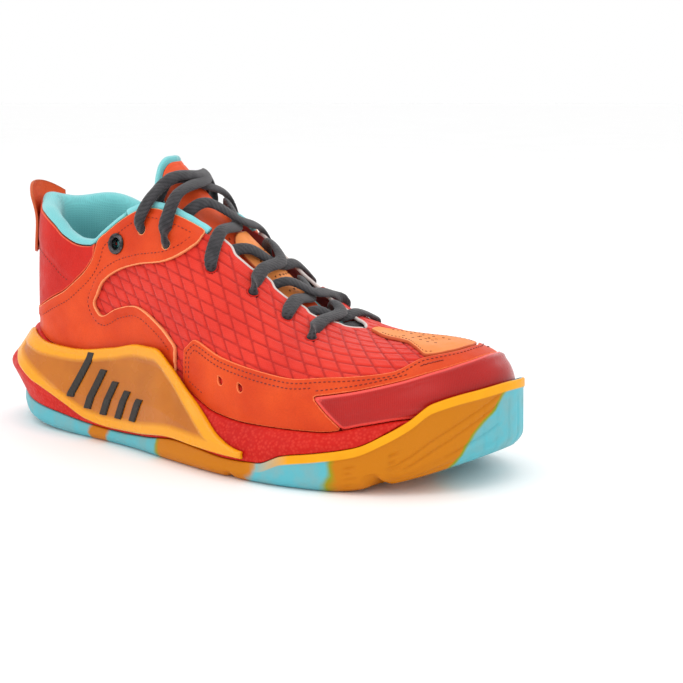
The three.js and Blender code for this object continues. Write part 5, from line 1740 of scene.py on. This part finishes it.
def tongue_face(u, v):
    raised = smooth((v - 0.84) / 0.12) * (1 - smooth((u - 5.8) / 0.5))
    return lerp(TONGUE_LOW, TONGUE_LOW + 3.4, raised) - sag(u, v)


def bridge_grid(start, end, reach, rows, columns, corner=0.0):
    """u, v and side over the ridge; w runs from -1 medial to 1 lateral."""
    w = np.linspace(-1, 1, columns)
    q = np.linspace(0, 1, rows)
    u = start + corner * np.abs(w)[None] ** 3.2 + (end - start - corner * np.abs(w)[None] ** 3.2) * q[:, None]
    w = np.broadcast_to(w[None], u.shape)
    v = lerp(1.0, tongue_edge(u), np.abs(w) * reach)
    return u, v, w


def bridge_points(u, v, w, lift):
    return lifted(np.where(w >= 0, u, MIRROR - u), v, lift)


def bridge_edge(points):
    """Distance to the rim of a grid, and its run lengths each way."""
    across, down = run_length(points, 1), run_length(points)
    d = np.minimum(across, across[:, -1:] - across)
    return np.minimum(d, np.minimum(down, down[-1:] - down)), across, down


def bridge_shell(u, v, w, outer, inner, down, across, d):
    return closed_shell(bridge_points(u, v, w, outer), bridge_points(u, v, w, inner),
                        np.stack([down, across], -1), d)


def punched(name, rows, heights, above, radius, slot):
    """Rows of punched marks on both sides of the ridge."""
    bag = Bag()
    for row in rows:
        for v in heights:
            for side in (1, -1):
                dimple(bag, on_side(row, side), v, float(tongue_face(row, v)) + above, radius)
    bag.piece(name, painted_hole_shade, "rearfoot", slot=slot)


def make_tongue():
    u, v, w = bridge_grid(TONGUE_TOP, TONGUE_FRONT, 1.0, 150, 97, corner=0.3)
    face = tongue_face(u, v)
    d, across, down = bridge_edge(bridge_points(u, v, w, face))
    roll = smooth((5.0 - d) / 1.6)
    outer = face - 1.55 + 2.1 * roll
    inner = face - 1.55 - tongue_pad(u) * (0.9 + 0.12 * np.sin(down / 7.0))
    middle = (outer + inner) / 2
    puff = np.sqrt(1 - (1 - np.clip(d / 4.0, 0, 1)) ** 2)
    outer, inner = lerp(middle, outer, puff), lerp(middle, inner, puff)
    shell_piece("tongue_pad", bridge_shell(u, v, w, outer, inner, down, across, d), lining_cloth, "rearfoot",
                weld=0.01, replaces=["tongue_padding", "tongue_binding"], slot="lining_cyan", pad=0.7)
    u, v, w = bridge_grid(TONGUE_TOP + 0.11, TONGUE_FRONT - 0.05, 0.84, 180, 91, corner=0.27)
    face = tongue_face(u, v)
    d, across, down = bridge_edge(bridge_points(u, v, w, face))
    swell = 0.7 * smooth(d / 9) * smooth((60 - down) / 30) - 0.25 * np.exp(-((d - 3.0) / 0.5) ** 2)
    outer = face - 1.3 + 1.3 * rounded(d, 0.5) + swell
    shell_piece("tongue_skin", bridge_shell(u, v, w, outer, face - 1.3, down, across, d), tongue_leather,
                "rearfoot", replaces=["tongue_skin"], slot="leather_orange")
    punched("tongue_perforations", np.arange(4.75, 6.4, 0.17), (0.9, 0.86), 0.05, 0.8, "leather_orange")
    bar_q, bar_w = np.meshgrid(np.linspace(0, 1, 90), np.linspace(-1, 1, 81), indexing="ij")
    round_end = 0.16 * np.abs(bar_w) ** 3
    bar_u = lerp(4.72 + round_end, 5.86 - round_end, bar_q)
    bar_v = 1 - 0.125 * np.abs(bar_w)
    face = tongue_face(bar_u, bar_v) + CLEARANCE + 0.35
    d, across, down = bridge_edge(bridge_points(bar_u, bar_v, bar_w, face))
    keeper = bridge_shell(bar_u, bar_v, bar_w, face + 0.9 * rounded(d, 0.6), face, down, across, d)
    shell_piece("lace_keeper", keeper, pale_leather, "rearfoot", replaces=["lace_keeper"], slot="leather_pale")
    punched("keeper_perforations", np.arange(5.02, 5.78, 0.12), (0.925, 0.955, 0.985), CLEARANCE + 1.27, 0.5,
            "leather_pale")


make_tongue()


# ------------------------------------------------------------------ eyelets, tapes, loops
def lathe(name, u, v, profile, material, rides, **facts):
    centre, n, one, two = frame_at(u, v)
    around = circle(one, two, 48)
    grid = np.array([centre + around * r + n * h for r, h in profile])
    faces = grid_faces(len(profile), 48, wrap_rows=True, wrap_columns=True)
    return mesh_piece(name, grid.reshape(-1, 3), faces, material, rides, **facts)


high = OVER_BASE + CLEARANCE
arc = np.linspace(0, np.pi, 11)
EYELET = [(2.7, -BASE), (3.3, -BASE), (3.3, high - 0.25)] + [
    (4.15 + 1.25 * math.cos(math.pi - a), high + 0.95 * math.sin(a)) for a in arc[::-1]] + [(2.7, high - 0.3)]
for side, name in ((1, "eyelet_lateral"), (-1, "eyelet_medial")):
    lathe(name, on_side(EYELET_STATION, side), EYELET_V, EYELET, metal, "rearfoot", replaces=[name],
          slot="metal_black")


TAPE_OUT, TAPE_LIFT, TAPE_HALF = 0.013, -0.3, (2.2, 1.5)


def tape(side):
    name = "eyestay_tape_lateral" if side > 0 else "eyestay_tape_medial"
    u = np.linspace(3.5, 4.62, 120)
    line = path_mm(on_side(u, side), upper_edge(u) + TAPE_OUT, TAPE_LIFT, 0.7)
    points, faces, uv = sweep(*line, *TAPE_HALF, sides=20, relief=lambda s, a: (
        1 + 0.05 * np.sin(2 * np.pi * s / 9.0) + 0.03 * np.sin(3 * a + s / 2.5)))
    mesh_piece(name, points, faces, binding_cloth, "rearfoot", uv=uv, replaces=[name], slot="binding_cyan")


tape(1)
tape(-1)
for i, at in enumerate((5.3, 5.78)):
    here = MIRROR - at
    plate(f"lace_loop_{i + 1}", np.linspace(here - 0.075, here + 0.075, 15), lambda u: upper_edge(u) - 0.1,
          upper_edge, CLEARANCE, CLEARANCE + 1.0, webbing_cloth, "rearfoot", nv=24, rim=0.35,
          replaces=[f"lace_loop_{i + 1}"], slot="webbing_red")

# bar tacks on the inner side
tacks = Bag()
for at in (5.05, 5.55, 6.05):
    for k in range(5):
        u = MIRROR - at - np.linspace(0, 0.11, 12)
        seam(tacks, u, np.linspace(0.6, 0.63, 12) - 0.012 * k + 0.02, 0.1, pitch=2.4, size=2.0, radius=0.3)
tacks.piece("bar_tacks", thread_silver, "rearfoot", slot="webbing_red")

stitch_dark["rearfoot"].piece("stitching_rear", thread_dark, "rearfoot", slot="leather_red")
stitch_dark["bend"].piece("stitching_front", thread_dark, "bend", slot="leather_red")


# ------------------------------------------------------------------ room and light
FLOOR_RINGS = (0.001, 0.6, 1.6, 4.0, 9.0)  # radii, m
LIGHTS = {  # place, aim, size, power
    "overhead": ((0.1, -0.1, 1.5), (0, 0, 0.05), (1.6, 1.2), 5.5),
    "front_left": ((-0.7, -1.3, 0.9), (0, 0, 0.06), (0.9, 0.9), 3.2),
    "front_right": ((1.3, -0.9, 0.7), (0, 0, 0.06), (0.8, 0.8), 1.5),
    "rim": ((0.2, 1.5, 0.9), (0, 0, 0.08), (1.2, 0.7), 2.5)}


def make_stage():
    round_it = circle(np.array([1.0, 0, 0]), np.array([0, 1.0, 0]), 96)
    grid = np.array([radius * round_it for radius in FLOOR_RINGS])
    faces = [list(map(int, f)) for f in grid_faces(len(grid), 96, wrap_columns=True)]
    mesh = bpy.data.meshes.new("floor")
    mesh.from_pydata(grid.reshape(-1, 3).tolist(), [], faces + [list(range(96))])
    mesh.shade_smooth()
    paint = Paint("floor_pale", roughness=0.6)
    paint.color(paint.mix(paint.span(paint.noise(6, 3), 0.3, 0.7), (1.0, 1.0, 1.0, 1),
                          (0.985, 0.985, 0.985, 1)))
    paint.bump(paint.noise(300, 3), 0.02, 0.3)
    mesh.materials.append(paint.material)
    floor = bpy.data.objects.new("floor", mesh)
    bpy.context.scene.collection.objects.link(floor)


def area_light(name, place, aim, size, power):
    data = bpy.data.lights.new(name, "AREA")
    data.shape = "RECTANGLE"
    data.size, data.size_y = size
    data.energy = power
    light = bpy.data.objects.new(name, data)
    light.location = place
    light.rotation_mode = "QUATERNION"
    light.rotation_quaternion = (Vector(aim) - Vector(place)).to_track_quat("-Z", "Y")
    bpy.context.scene.collection.objects.link(light)


make_stage()
for light_name, facts in LIGHTS.items():
    area_light(light_name, *facts)
sky = bpy.data.worlds.new("studio")
sky.use_nodes = True
sky.node_tree.nodes["Background"].inputs[0].default_value = (1, 1, 1, 1)
sky.node_tree.nodes["Background"].inputs[1].default_value = 1.0
bpy.context.scene.world = sky
bpy.context.scene.view_settings.view_transform = "Standard"
